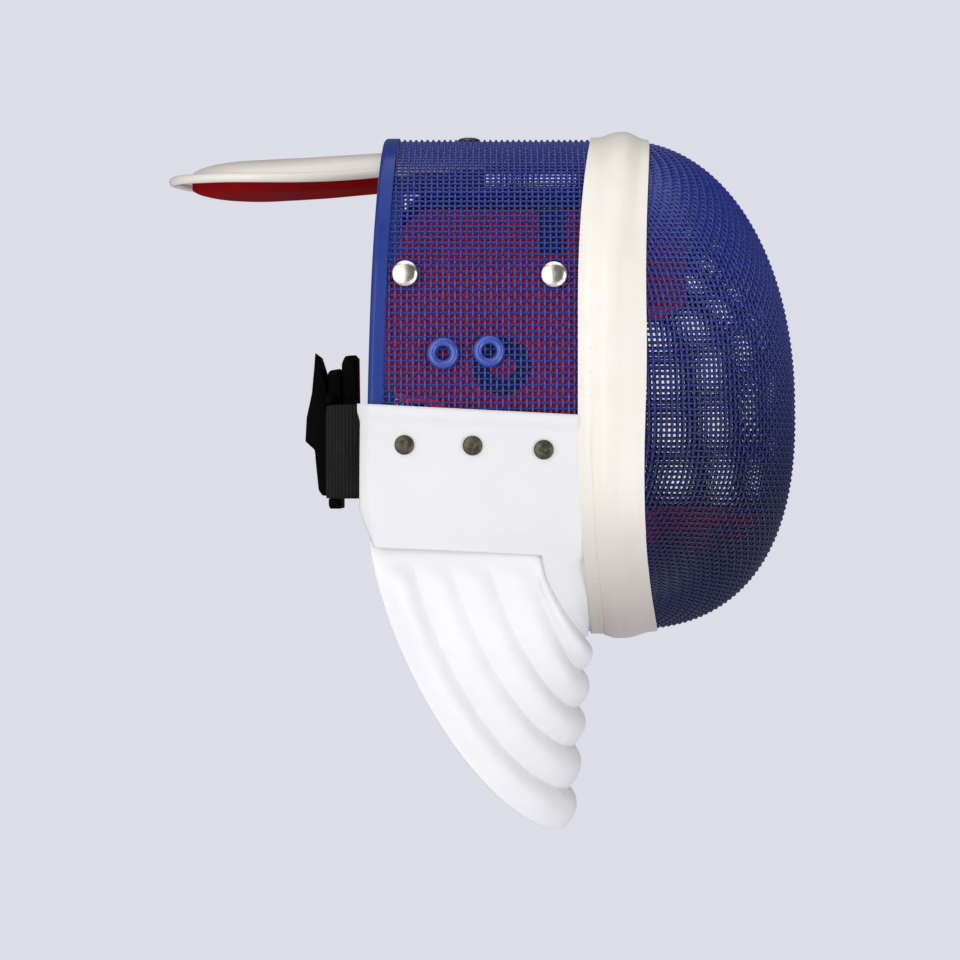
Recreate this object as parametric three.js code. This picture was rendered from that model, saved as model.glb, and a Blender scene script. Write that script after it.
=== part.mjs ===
// A fencing mask: a dome of woven steel mesh over the face, an arch of the same mesh over the head,
// a padded bib over the throat, red pads inside, a sprung tongue and a strap behind.
// Millimetres. +Z is up, the face looks along -Y, and the mask is the same on both sides of X = 0.
// The origin is where the crown of the head sits, under the tongue's pad and below its rivet.

import * as THREE from "three";
import { mergeVertices } from "three/addons/utils/BufferGeometryUtils.js";

// Fits
const SEAT_GAP = 0.3; // between a piece and what it rests on

// Woven mesh
const WIRE = 1.1; // painted wire
const MESH = 2 * WIRE; // one wire over another
const LIP_HEIGHT = 3; // the mesh edges turn outwards where dome and arch meet

// The oval where the two meshes meet, seen from the front
const HALF_WIDTH = 97;
const ARCH_HEIGHT = 98;
const CHEEK_HEIGHT = 50.5;
const CHIN_HEIGHT = 118.8;
const ARCH_POWER = 2.3;
const CHIN_POWER = 2.2;
const TOP_Z = 25.5;
const JOINT_Y = -83.6;
const JOINT_BOW = 10; // the joint lies this much further back at the cheeks

// Depths along Y
const FACE_DEPTH = 94.6;
const ARCH_DEPTH = 128.1;
const REAR_LEAN = 7; // the rear edge lies this much further back at its foot
const JAW_TAPER = 5; // how far the arch's legs close in at the jaw

const ARCH_Z = TOP_Z - ARCH_HEIGHT;
const APEX_Z = ARCH_Z - CHEEK_HEIGHT;
const CHIN_Z = APEX_Z - CHIN_HEIGHT;
const APEX_Y = JOINT_Y - FACE_DEPTH;
const REAR_Y = JOINT_Y + ARCH_DEPTH;

// Arch legs, rim and band
const LEG_END_Z = -174;
const RIM_WIDTH = 8.2;
const RIM_WALL = 0.9;
const RIM_BACK = 1.1;
const BAND_WIDTH = 34;
const BAND_WALL = 1.2;
const BAND_RIDGE = 0.6; // the band's fullness over the lip

// How far the band reaches forward over the dome, from the crown (0) to the chin (1)
const BAND_FRONT = [
  { at: 0, reach: 13.2 },
  { at: 0.3, reach: 17.3 },
  { at: 0.5, reach: 18.8 },
  { at: 0.62, reach: 16.5 },
  { at: 0.75, reach: 16.1 },
  { at: 1, reach: 19.8 },
];

// Bib flap, measured along the band's rear edge
const FLAP_WALL = 2.6;
const FLAP_TOP_Z = -126;
const FLAP_END_Z = -200;
const FLAP_TUCK = 8; // its rear corner comes forward this much below the legs
const FLAP_SLOPE = 0.05; // its edges rise towards the rear
const FLAP_BEHIND = 4.8; // how far it wraps behind the rear edge of the mesh
const FLAP_RETURN = 16; // how far it comes forward again inside
const HEM_HEIGHT = 8;
const HEM_EXTRA = 0.7;
const YOKE_WIDTH = 21; // the strip that runs on under the chin
const YOKE_END_WIDTH = 4;

// Quilted bib
const BIB_WALL = 2.4;
const BIB_TOP_Z = -188;
const BIB_FREE_Y = 51.5;
const BIB_FREE_HALF_WIDTH = 92;
const BIB_INSET = 3.5; // it passes this far inside the flap
const BIB_TIP_Y = -52.5;
const BIB_TIP_Z = -350;
const ROLL_OUT = 5.2;
const ROLL_IN = 1.8;
const BIB_STATIONS = [0, 0.07, 0.15, 0.25, 0.36, 0.48, 0.6, 0.71, 0.8, 0.87, 0.925, 0.965, 0.985, 0.9999];
const BIB_FRONT_POWER = 3; // how square its free edge is from the front
const BIB_SIDE_POWER = 1.5; // and from the side

// Seams of the bib, as shares of the way from the yoke to the free edge
const BIB_SEAMS = [
  { name: "yoke", front: 0, side: 0 },
  { name: "first", front: 0.2, side: 0.24 },
  { name: "second", front: 0.385, side: 0.46 },
  { name: "third", front: 0.58, side: 0.64 },
  { name: "fourth", front: 0.795, side: 0.815 },
  { name: "free edge", front: 1, side: 1 },
];

// Pads
const PAD_GAP = 2.6; // room for the ring and the patch between pad and mesh
const PAD_THICKNESS = 12;
const SIDE_PAD = { front: -78, rear: 43, top: -5, bottom: -176, waist: -113, rearBelow: 12 };
const FOREHEAD_PAD = { halfWidth: 80, root: -79, reach: 40, top: -6, bottom: -64, dip: 10 };
const CHIN_PAD = { top: -176, fall: 14, end: -180, rim: 0.988, gap: 1.15 };

// Fasteners: places along Y and Z on each side
const SNAP = { radius: 6.6, height: 3.2 };
const SNAP_PLACES = [
  { name: "rear", y: 32.7, z: -53.2 },
  { name: "front", y: -44.3, z: -53.7 },
];
const EYELET = { bore: 4.4, radius: 8.3, height: 2.9 };
const EYELET_PLACES = [
  { name: "rear", y: 13.1, z: -94.3 },
  { name: "front", y: -10.7, z: -93.2 },
];
const RIVET = { radius: 5.1, height: 1.5 };
const RIVET_PLACES = [
  { name: "rear", y: 33, z: -141.6 },
  { name: "middle", y: -2.2, z: -141.9 },
  { name: "front", y: -38.9, z: -143.9 },
];
const EAR_RING = { y: -17.2, z: -100.8, bore: 6.8, radius: 15, height: 1.5 };
const PAD_TAB = { front: -50.3, rear: -37.3, top: -16, bottom: -41, thickness: 1.2 };
const TONGUE_RIVET = { radius: 6.2, height: 2.6 };

// Tongue: stations from its root under the arch to its tip
const TONGUE_ROOT_Y = -8;
const TONGUE_TIP_Y = 165;
const TONGUE_HALF_WIDTH = 44;
const TONGUE_ARCH = 4; // its edges lie this much lower than its middle
const TONGUE_PIPING = 2.5; // radius
const TONGUE_PUFF = 7.5;
const TONGUE_PAD = 10.5;
const TONGUE_FALL = 0.064; // slope of its back
const TONGUE_EDGE_Z = 14.1; // middle of the piping at the rivet

// Strap and clasp behind the neck
const STRAP_WIDTH = 49;
const STRAP_WALL = 1.8;
const STRAP_Z = -145;
const STRAP_START_Y = 22;
const STRAP_BACK_Y = 76.8;
const STRAP_POWER = 2.6;
const STRAP_INSIDE = 8.2; // the strap's outer face, in from the mesh's outside
const CLASP_WIDTH = 52;
const CLASP_FRAME_INSET = 3; // each piece nearer the neck is narrower by this much at each side

// Side profiles of the clasp: distance behind the strap's outer face, and height
const CLASP_COVER = [
  { name: "foot", behind: 0.3, z: -168.4 },
  { name: "heel", behind: 2.5, z: -168.2 },
  { name: "rounded heel", behind: 4.5, z: -165.3 },
  { name: "lower back", behind: 5.9, z: -152 },
  { name: "under the step", behind: 6.6, z: -143.6 },
  { name: "step", behind: 11.7, z: -138.9 },
  { name: "widest", behind: 11, z: -126 },
  { name: "waist", behind: 8.2, z: -113 },
  { name: "neck", behind: 6.9, z: -99 },
  { name: "tip", behind: 6.4, z: -91.2 },
  { name: "tip front", behind: 5.1, z: -91.6 },
  { name: "throat", behind: 2.6, z: -99.3 },
  { name: "shoulder", behind: 0.3, z: -108.5 },
];
const CLASP_FRAME = [
  { name: "foot", behind: -7.4, z: -175.4 },
  { name: "foot back", behind: -1.6, z: -175.4 },
  { name: "foot corner", behind: -0.8, z: -173.6 },
  { name: "under the strap", behind: -0.8, z: -169.8 },
  { name: "seat below", behind: -2.1, z: -169.8 },
  { name: "seat above", behind: -2.1, z: -120.2 },
  { name: "over the strap", behind: -0.3, z: -120.2 },
  { name: "block back", behind: -0.3, z: -102 },
  { name: "block corner", behind: -1.6, z: -100.4 },
  { name: "block top", behind: -7.4, z: -99.4 },
];
const CLASP_BACKPLATE = [
  { name: "foot", behind: -17, z: -166.5 },
  { name: "foot back", behind: -7.7, z: -166.5 },
  { name: "back", behind: -7.7, z: -96.6 },
  { name: "shoulder", behind: -9.4, z: -92.7 },
  { name: "top back", behind: -11, z: -92.2 },
  { name: "top", behind: -15.9, z: -91.9 },
];

// Colours
const PAINT = { color: 0x28439a, roughness: 0.35, metalness: 0.3 };
const CREAM = { color: 0xf2efe7, roughness: 0.4, metalness: 0 };
const WHITE_CLOTH = { color: 0xf4f4f5, roughness: 0.9, metalness: 0 };
const RED_CLOTH = { color: 0x9c1420, roughness: 0.85, metalness: 0 };
const CHROME = { color: 0xd8d6cf, roughness: 0.12, metalness: 1 };
const GUNMETAL = { color: 0x5a554b, roughness: 0.4, metalness: 0.9 };
const BLACK_WEB = { color: 0x1d1e1c, roughness: 0.8, metalness: 0 };
const BLACK_PLASTIC = { color: 0x0b0b0a, roughness: 0.3, metalness: 0 };

const mask = new THREE.Group();

function addMesh(name, geometry, finish) {
  const mesh = new THREE.Mesh(geometry, new THREE.MeshStandardMaterial(finish));
  mesh.name = name;
  mask.add(mesh);
  return mesh;
}

const lerp = THREE.MathUtils.lerp;
const clamp = THREE.MathUtils.clamp;
const smoothstep = THREE.MathUtils.smoothstep;

// Numbers from a to b in equal steps, both ends included.
function spread(a, b, steps) {
  return Array.from({ length: steps + 1 }, (_, i) => lerp(a, b, i / steps));
}

// A closed wall between two grids of points that match one to one. Cells that keep() refuses are left out.
function wallGeometry(outer, inner, { loop = false, keep = () => true } = {}) {
  const rows = outer.length;
  const columns = outer[0].length;
  const positions = [];
  const triangle = (a, b, c) => {
    const flat = a.distanceTo(b) < 1e-6 || b.distanceTo(c) < 1e-6 || c.distanceTo(a) < 1e-6;
    if (!flat) positions.push(...a.toArray(), ...b.toArray(), ...c.toArray());
  };
  const quad = (a, b, c, d) => {
    triangle(a, b, c);
    triangle(a, c, d);
  };
  const lastRow = loop ? rows : rows - 1;
  const kept = (i, j) => {
    const row = loop ? (i + rows) % rows : i;
    return row >= 0 && row < lastRow && j >= 0 && j < columns - 1 && keep(row, j);
  };
  for (let i = 0; i < lastRow; i++) {
    const n = (i + 1) % rows;
    for (let j = 0; j < columns - 1; j++) {
      if (!kept(i, j)) continue;
      quad(outer[i][j], outer[n][j], outer[n][j + 1], outer[i][j + 1]);
      quad(inner[i][j], inner[i][j + 1], inner[n][j + 1], inner[n][j]);
      if (!kept(i - 1, j)) quad(outer[i][j], outer[i][j + 1], inner[i][j + 1], inner[i][j]);
      if (!kept(i + 1, j)) quad(outer[n][j + 1], outer[n][j], inner[n][j], inner[n][j + 1]);
      if (!kept(i, j - 1)) quad(outer[n][j], outer[i][j], inner[i][j], inner[n][j]);
      if (!kept(i, j + 1)) quad(outer[i][j + 1], outer[n][j + 1], inner[n][j + 1], inner[i][j + 1]);
    }
  }
  const geometry = new THREE.BufferGeometry();
  geometry.setAttribute("position", new THREE.Float32BufferAttribute(positions, 3));
  return outwards(mergeVertices(geometry, 1e-4));
}

// Turns a closed mesh right way out if its faces point inwards.
function outwards(geometry) {
  const index = geometry.index.array;
  const p = geometry.getAttribute("position");
  const corner = (k) => new THREE.Vector3().fromBufferAttribute(p, index[k]);
  let volume = 0;
  for (let k = 0; k < index.length; k += 3) {
    volume += corner(k).dot(corner(k + 1).cross(corner(k + 2)));
  }
  if (volume < 0) {
    for (let k = 0; k < index.length; k += 3) {
      [index[k + 1], index[k + 2]] = [index[k + 2], index[k + 1]];
    }
  }
  geometry.computeVertexNormals();
  return geometry;
}

// The oval

// A point of the joint oval. t runs from 0 at the top to 1 or -1 at the chin, one sign for each side.
function ovalPoint(t) {
  const archShare = 0.42;
  const cheekShare = 0.13;
  const a = Math.min(Math.abs(t), 2 - Math.abs(t));
  const side = Math.abs(t) > 1 ? -Math.sign(t) : Math.sign(t);
  if (a <= archShare) {
    const turn = ((a / archShare) * Math.PI) / 2;
    return new THREE.Vector2(
      side * HALF_WIDTH * Math.sin(turn) ** (2 / ARCH_POWER),
      ARCH_Z + ARCH_HEIGHT * Math.max(0, Math.cos(turn)) ** (2 / ARCH_POWER),
    );
  }
  if (a <= archShare + cheekShare) {
    return new THREE.Vector2(side * HALF_WIDTH, lerp(ARCH_Z, APEX_Z, (a - archShare) / cheekShare));
  }
  const turn = (((a - archShare - cheekShare) / (1 - archShare - cheekShare)) * Math.PI) / 2;
  return new THREE.Vector2(
    side * HALF_WIDTH * Math.max(0, Math.cos(turn)) ** (2 / CHIN_POWER),
    APEX_Z - CHIN_HEIGHT * Math.sin(turn) ** (2 / CHIN_POWER),
  );
}

// The t of the oval at a height between the widest line and the chin.
function ovalAt(z) {
  let low = 0;
  let high = 1;
  for (let k = 0; k < 30; k++) {
    const middle = (low + high) / 2;
    if (ovalPoint(middle).y > z) low = middle;
    else high = middle;
  }
  return low;
}

function jointY(t) {
  return JOINT_Y + JOINT_BOW * (ovalPoint(t).x / HALF_WIDTH) ** 2;
}

function rearY(z) {
  const share = clamp((TOP_Z - z) / (TOP_Z - LEG_END_Z), 0, 1);
  return REAR_Y + REAR_LEAN * (1 - (1 - share) ** 2);
}

// The dome

// How square the dome is between its middle and its edge: fuller at the chin than at the brow.
function domePower(t) {
  const reach = ovalPoint(t).y - APEX_Z;
  return 2.3 - 0.2 * (reach > 0 ? reach / (TOP_Z - APEX_Z) : reach / CHIN_HEIGHT);
}

// A point on the dome's outside. share is 0 at its middle and 1 at the joint.
function domePoint(t, share) {
  const p = ovalPoint(t);
  const power = domePower(t);
  const depth = (jointY(t) - APEX_Y) * (1 - share ** power) ** (1 / power);
  return new THREE.Vector3(p.x * share, jointY(t) - depth, APEX_Z + (p.y - APEX_Z) * share);
}

// The share of the way out at which the dome stands a given depth in front of the joint.
function domeShare(t, depth) {
  const power = domePower(t);
  return (1 - (depth / (jointY(t) - APEX_Y)) ** power) ** (1 / power);
}

// Unit normal of a surface given by a function of two values, turned to point away from the head.
function normalOf(surface, a, b, stepA, stepB) {
  const alongA = surface(a + stepA, b).sub(surface(a - stepA, b));
  const alongB = surface(a, b + stepB).sub(surface(a, b - stepB));
  const normal = alongA.cross(alongB).normalize();
  const fromMiddle = surface(a, b).sub(new THREE.Vector3(0, (JOINT_Y + REAR_Y) / 2, APEX_Z));
  return normal.dot(fromMiddle) < 0 ? normal.negate() : normal;
}

function domeOffset(t, share, outwardsBy) {
  const point = domePoint(t, share);
  if (share < 1e-3) return point.add(new THREE.Vector3(0, -outwardsBy, 0));
  const normal = share > 0.995 ? outlineNormal(t) : normalOf(domePoint, t, share, 1e-3, 1e-3);
  return point.addScaledVector(normal, outwardsBy);
}

function outlineNormal(t) {
  const along = ovalPoint(t + 1e-3).sub(ovalPoint(t - 1e-3));
  const normal = new THREE.Vector3(along.y, 0, -along.x).normalize();
  const p = ovalPoint(t);
  return normal.x * p.x + normal.z * (p.y - APEX_Z) < 0 ? normal.negate() : normal;
}

// The arch

// A point on the outside of the arch over the head. Its legs stay upright while the oval closes to the chin.
function archPoint(t, y) {
  const p = ovalPoint(t);
  const below = Math.max(0, APEX_Z - p.y) / CHIN_HEIGHT;
  const rearX = Math.abs(p.y > APEX_Z ? p.x : HALF_WIDTH) - JAW_TAPER * below ** 2;
  const share = clamp((y - jointY(t)) / (rearY(p.y) - jointY(t)), 0, 2);
  return new THREE.Vector3(Math.sign(p.x) * lerp(Math.abs(p.x), rearX, share), y, p.y);
}

function archOffset(t, y, outwardsBy) {
  return archPoint(t, y).addScaledVector(normalOf(archPoint, t, y, 1e-3, 0.1), outwardsBy);
}

// Pieces of the shell

function faceMesh() {
  const meridians = 40;
  const shares = [0, 0.18, 0.4, 0.6, 0.77, 0.89, 0.96, 0.99];
  const outer = [];
  const inner = [];
  for (let i = 0; i < meridians; i++) {
    const t = -1 + (2 * i) / meridians;
    const lip = outlineNormal(t);
    const edge = domePoint(t, 1);
    const at = (outwardsBy, forward) =>
      edge.clone().addScaledVector(lip, outwardsBy).add(new THREE.Vector3(0, -forward, 0));
    outer.push([...shares.map((s) => domeOffset(t, s, 0)), at(0, MESH), at(LIP_HEIGHT, MESH)]);
    inner.push([
      ...shares.map((s) => domeOffset(t, s, -MESH)),
      at(-MESH, SEAT_GAP / 2),
      at(LIP_HEIGHT, SEAT_GAP / 2),
    ]);
  }
  return wallGeometry(outer, inner, { loop: true });
}

// Stations round the arch from the end of one leg to the other.
function archStations(steps, endZ = LEG_END_Z) {
  const end = ovalAt(endZ);
  return spread(-end, end, steps);
}

function sideMesh() {
  const outer = [];
  const inner = [];
  for (const t of archStations(30)) {
    const front = jointY(t);
    const rear = rearY(ovalPoint(t).y);
    const lip = outlineNormal(t);
    const back = spread(front, rear, 4).slice(1);
    const lipPoint = (y) => archPoint(t, y).addScaledVector(lip, LIP_HEIGHT);
    outer.push([
      lipPoint(front + MESH),
      archOffset(t, front + MESH, 0),
      ...back.map((y) => archOffset(t, y, 0)),
    ]);
    inner.push([
      lipPoint(front + SEAT_GAP / 2),
      archOffset(t, front + SEAT_GAP / 2, -MESH),
      ...back.map((y) => archOffset(t, y, -MESH)),
    ]);
  }
  return wallGeometry(outer, inner);
}

// A steel channel folded over the rear edge of the arch.
function rearRim() {
  const outside = SEAT_GAP + RIM_WALL;
  const inside = -MESH - SEAT_GAP - RIM_WALL;
  const slot = [SEAT_GAP, -MESH - SEAT_GAP];
  const soft = 0.5;
  const outer = [];
  const inner = [];
  for (const t of archStations(30)) {
    const rear = rearY(ovalPoint(t).y);
    const front = rear + RIM_BACK - RIM_WIDTH;
    const at = ([outwardsBy, y]) => archOffset(t, y, outwardsBy);
    outer.push(
      [
        [outside, front],
        [outside, rear + RIM_BACK - 2 * soft],
        [outside - soft, rear + RIM_BACK],
        [inside + soft, rear + RIM_BACK],
        [inside, rear + RIM_BACK - 2 * soft],
        [inside, front],
      ].map(at),
    );
    inner.push(
      [
        [slot[0], front],
        [slot[0], rear],
        [slot[0], rear + SEAT_GAP],
        [slot[1], rear + SEAT_GAP],
        [slot[1], rear],
        [slot[1], front],
      ].map(at),
    );
  }
  return wallGeometry(outer, inner);
}

// A point a given height off the shell, before or behind the joint. Ahead of it lies the dome.
function shellPoint(t, behind, outwardsBy) {
  if (behind < 0) return domeOffset(t, domeShare(t, -behind), outwardsBy);
  return archPoint(t, jointY(t) + behind).addScaledVector(outlineNormal(t), outwardsBy);
}

function bandReach(t) {
  const k = BAND_FRONT.findIndex(({ at }) => at >= Math.abs(t));
  const [a, b] = BAND_FRONT.slice(Math.max(0, k - 1), Math.max(0, k - 1) + 2);
  return lerp(a.reach, b.reach, (Math.abs(t) - a.at) / (b.at - a.at));
}

// The band that hides the joint: thin at its edges, full over the lips.
function trimBand() {
  const stations = 40;
  const seat = 2 * SEAT_GAP;
  const ridge = LIP_HEIGHT + seat;
  const profile = [
    { at: -1, rise: seat },
    { at: -0.55, rise: seat + 0.22 * ridge },
    { at: -0.22, rise: ridge },
    { at: 0.22, rise: ridge },
    { at: 0.55, rise: seat + 0.22 * ridge },
    { at: 1, rise: seat },
  ];
  const outer = [];
  const inner = [];
  for (let i = 0; i < stations; i++) {
    const t = -1 + (2 * i) / stations;
    const behind = (at) => at * (at < 0 ? bandReach(t) : BAND_WIDTH / 2);
    const fullness = (at) => BAND_WALL + BAND_RIDGE * (1 - Math.abs(at)) ** 2;
    outer.push(profile.map((p) => shellPoint(t, behind(p.at), p.rise + fullness(p.at))));
    inner.push(profile.map((p) => shellPoint(t, behind(p.at), p.rise)));
  }
  return wallGeometry(outer, inner, { loop: true });
}

// The bib

// Rows of the flap and its yoke: from one hem round under the chin to the other hem.
function flapRows() {
  const hem = [FLAP_TOP_Z, FLAP_TOP_Z - HEM_HEIGHT, FLAP_TOP_Z - HEM_HEIGHT - 0.5];
  const cheek = [-145, -157, -168, LEG_END_Z - 1, -183, -192, FLAP_END_Z];
  const side = [...hem, ...cheek].map(ovalAt);
  const end = side.at(-1);
  const chin = BIB_STATIONS.map((u) => lerp(1, ovalAt(BIB_TOP_Z), u)).filter((t) => t > end + 0.01);
  const half = [...side, ...chin.reverse()];
  return { rows: [...half.map((t) => -t), ...half.slice(0, -1).reverse()], hem: side[1], legs: side[6], end };
}

// The yoke's width behind the band: full below the flap and narrow at the chin.
function yokeWidth(t) {
  const end = ovalAt(FLAP_END_Z);
  const share = clamp((Math.abs(t) - end) / (1 - end), 0, 1);
  return lerp(YOKE_WIDTH, YOKE_END_WIDTH, Math.sin((share * Math.PI) / 2));
}

function bandEdgeY(t) {
  return jointY(t) + BAND_WIDTH / 2 + SEAT_GAP;
}

function bibFlap() {
  const { rows, hem, legs, end } = flapRows();
  const isSide = (t) => Math.abs(t) <= end + 1e-9;
  const isWrapped = (t) => Math.abs(t) <= legs + 1e-9;
  const stripSteps = 1;
  const sheetSteps = 3;
  const outer = [];
  const inner = [];
  for (const t of rows) {
    const front = bandEdgeY(t);
    const strip = spread(0, isSide(t) ? YOKE_WIDTH : yokeWidth(t), stripSteps);
    const wall = FLAP_WALL + (Math.abs(t) <= hem ? HEM_EXTRA : 0);
    // On the cheek the flap lies on the arch, below it the strip lies on the bib.
    const onArch = (y, outwardsBy) => {
      const height = ovalPoint(t).y + FLAP_SLOPE * (y - front);
      return archOffset(Math.sign(t) * ovalAt(height), y, outwardsBy);
    };
    const onBib = (width, outwardsBy) => {
      const u = Math.sign(t) * bibShareAt(t);
      const w = bibRowAt(u, width);
      return bibPoint(u, w).addScaledVector(bibNormal(u, w), outwardsBy);
    };
    const place = (width, outwardsBy) =>
      isSide(t) ? onArch(front + width, outwardsBy) : onBib(width, outwardsBy);
    const z = ovalPoint(t).y;
    const edge = rearY(z) + RIM_BACK;
    const lift = RIM_WALL + 2 * SEAT_GAP;
    const tuck = FLAP_TUCK * smoothstep(-z, 4 - LEG_END_Z, 4 - FLAP_END_Z);
    const step = edge - RIM_WIDTH - tuck;
    const sheet = spread(front + YOKE_WIDTH, step - 4, sheetSteps).slice(1);
    const under = [
      ...sheet.map((y) => [y, SEAT_GAP]),
      [step - SEAT_GAP, lift],
      [edge - 0.4 - tuck, lift],
      [edge + 2 * SEAT_GAP - tuck, lift - 0.9],
      [edge + 2 * SEAT_GAP, -MESH - lift + 0.9],
      [edge - 0.4, -MESH - lift],
      [edge - FLAP_RETURN, -MESH - lift],
    ];
    const over = [
      ...sheet.map((y) => [y, SEAT_GAP + wall]),
      [step - SEAT_GAP, lift + wall],
      [edge - tuck, lift + wall * 0.85],
      [edge - RIM_BACK + FLAP_BEHIND - tuck, lift - 0.5],
      [edge - RIM_BACK + FLAP_BEHIND, -MESH - lift + 0.5],
      [edge, -MESH - lift - FLAP_WALL * 0.85],
      [edge - FLAP_RETURN, -MESH - lift - FLAP_WALL],
    ];
    inner.push([...strip.map((w) => place(w, SEAT_GAP)), ...under.map(([y, n]) => onArch(y, n))]);
    outer.push([...strip.map((w) => place(w, SEAT_GAP + wall)), ...over.map(([y, n]) => onArch(y, n))]);
  }
  const fold = stripSteps + sheetSteps + 3;
  const both = (test, i) => test(rows[i]) && test(rows[i + 1]);
  const keep = (i, j) => j < stripSteps || (both(isSide, i) && (j < fold || both(isWrapped, i)));
  return wallGeometry(outer, inner, { keep });
}

// The bib's share round its upper rail for a t of the oval: 0 at the chin and 1 under the flap.
function bibShareAt(t) {
  return (1 - Math.abs(t)) / (1 - ovalAt(BIB_TOP_Z));
}

// The bib's upper rail, behind the band. At the chin it leaves room for the strip in front of it.
function bibTopRail(u) {
  const t = lerp(1, ovalAt(BIB_TOP_Z), Math.abs(u));
  const room = (FLAP_WALL + 2 * SEAT_GAP) * Math.cos((u * Math.PI) / 2) ** 0.5;
  const point = archPoint(t, bandEdgeY(t) + room);
  point.x = Math.abs(point.x) * Math.sign(u);
  return point;
}

// The bib's free edge, from the tip round to the end behind the jaw.
function bibFreeEdge(u) {
  const turn = (Math.abs(u) * Math.PI) / 2;
  const drop = Math.max(0, Math.cos(turn)) ** (2 / BIB_FRONT_POWER);
  return new THREE.Vector3(
    Math.sign(u) * BIB_FREE_HALF_WIDTH * Math.sin(turn) ** (2 / BIB_FRONT_POWER),
    BIB_TIP_Y + (BIB_FREE_Y - BIB_TIP_Y) * (1 - drop ** BIB_SIDE_POWER) ** (1 / BIB_SIDE_POWER),
    lerp(BIB_TOP_Z, BIB_TIP_Z, drop),
  );
}

// How far a seam has turned from its place at the chin to its place under the flap.
function seamTurn(u) {
  return Math.abs(u) ** 1.4;
}

// A point of the bib between its rails. w counts seams from the yoke.
function bibPoint(u, w) {
  const k = clamp(Math.floor(w), 0, BIB_SEAMS.length - 2);
  const share = (edge) => lerp(BIB_SEAMS[k][edge], BIB_SEAMS[k + 1][edge], w - k);
  const point = bibTopRail(u).lerp(bibFreeEdge(u), lerp(share("front"), share("side"), seamTurn(u)));
  point.x -= Math.sign(u) * BIB_INSET * smoothstep(Math.abs(u), 0.55, 0.85);
  return point;
}

// The row of the bib at a distance from its upper rail.
function bibRowAt(u, distance) {
  const share = distance / bibTopRail(u).distanceTo(bibFreeEdge(u));
  return share / lerp(BIB_SEAMS[1].front, BIB_SEAMS[1].side, seamTurn(u));
}

function bibPad() {
  const rolls = BIB_SEAMS.length - 1;
  const across = [0, 0.22, 0.62];
  const outer = [];
  const inner = [];
  for (const u of [...BIB_STATIONS.slice(1).map((v) => -v).reverse(), ...BIB_STATIONS]) {
    const strip = bibRowAt(u, yokeWidth(lerp(1, ovalAt(BIB_TOP_Z), Math.abs(u))) + 0.6);
    const start = (k) => (k === 0 ? strip : k);
    const columns = [0];
    for (let k = 0; k < rolls; k++) columns.push(...across.map((f) => lerp(start(k), k + 1, f)));
    columns.push(rolls);
    const puff = (w) => {
      const k = Math.min(Math.floor(w), rolls - 1);
      const share = clamp((w - start(k)) / (k + 1 - start(k)), 0, 1);
      const belowFlap = smoothstep(-bibPoint(u, w).z, 3 - FLAP_END_Z, 13 - FLAP_END_Z);
      return Math.max(0, Math.sin(Math.PI * share ** 0.85)) ** 0.7 * belowFlap;
    };
    const at = (w, outwardsBy) => bibPoint(u, w).addScaledVector(bibNormal(u, w), outwardsBy);
    outer.push(columns.map((w) => at(w, ROLL_OUT * puff(w))));
    inner.push(columns.map((w) => at(w, -BIB_WALL - ROLL_IN * puff(w))));
  }
  return wallGeometry(outer, inner);
}

function bibNormal(u, w) {
  const a = clamp(u, -0.97, 0.97);
  const b = clamp(w, 0.02, BIB_SEAMS.length - 1.02);
  const alongU = bibPoint(a + 0.01, b).sub(bibPoint(a - 0.01, b));
  const alongW = bibPoint(a, b + 0.01).sub(bibPoint(a, b - 0.01));
  const normal = alongU.cross(alongW).normalize();
  return normal.y * -1 + (normal.x * Math.sign(u) || 0) < 0 ? normal.negate() : normal;
}

// The pads

// A cushion's thickness over a square of two shares: full in the middle, thin at the edges.
function cushion(a, b) {
  const edge = (v) => Math.min(1, Math.sin(Math.PI * clamp(v, 0.03, 0.97)) ** 0.45);
  return edge(a) * edge(b);
}

function sidePad(side) {
  const outer = [];
  const inner = [];
  for (const a of [0, 0.04, 0.11, 0.2, 0.32, 0.45, 0.635, 0.678, 0.8, 0.93, 1]) {
    const z = lerp(SIDE_PAD.top, SIDE_PAD.bottom, a);
    const t = side * ovalAt(z);
    const corner = Math.max(0, 1 - a / 0.3) ** 2 * 12;
    const waist = smoothstep(-z, -SIDE_PAD.waist, -SIDE_PAD.waist + 7);
    const rear = lerp(SIDE_PAD.rear, SIDE_PAD.rearBelow, waist) - corner;
    const row = spread(SIDE_PAD.front, rear, 9);
    outer.push(row.map((y) => archOffset(t, y, -MESH - PAD_GAP)));
    inner.push(
      row.map((y, j) => archOffset(t, y, -MESH - PAD_GAP - 1 - (PAD_THICKNESS - 1) * cushion(a, j / 9))),
    );
  }
  return wallGeometry(outer, inner);
}

// A padded band bent round inside the dome from side to side.
function roundPad(thickness, outline, levels) {
  const turns = spread(-1, 1, 16);
  const outer = [];
  const inner = [];
  for (const turn of turns) {
    const angle = (turn * Math.PI) / 2;
    const line = levels.map((b) => outline(angle, b));
    const along = cushion((turn + 1) / 2, 0.5);
    const away = new THREE.Vector3(Math.sin(angle), -Math.cos(angle), 0);
    outer.push(line);
    inner.push(
      line.map((p, j) =>
        p.clone().addScaledVector(away, -1 - (thickness - 1) * along * cushion(0.5, levels[j])),
      ),
    );
  }
  return wallGeometry(outer, inner);
}

function foreheadPad() {
  const shape = FOREHEAD_PAD;
  const outline = (angle, b) => {
    const sideways = Math.abs(Math.sin(angle));
    return new THREE.Vector3(
      shape.halfWidth * Math.sign(angle) * sideways ** 0.9,
      shape.root - shape.reach * Math.max(0, Math.cos(angle)) ** 0.9,
      lerp(shape.top - shape.dip * sideways, shape.bottom - 0.6 * shape.dip * sideways, b),
    );
  };
  return roundPad(PAD_THICKNESS, outline, spread(0, 1, 5));
}

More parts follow.
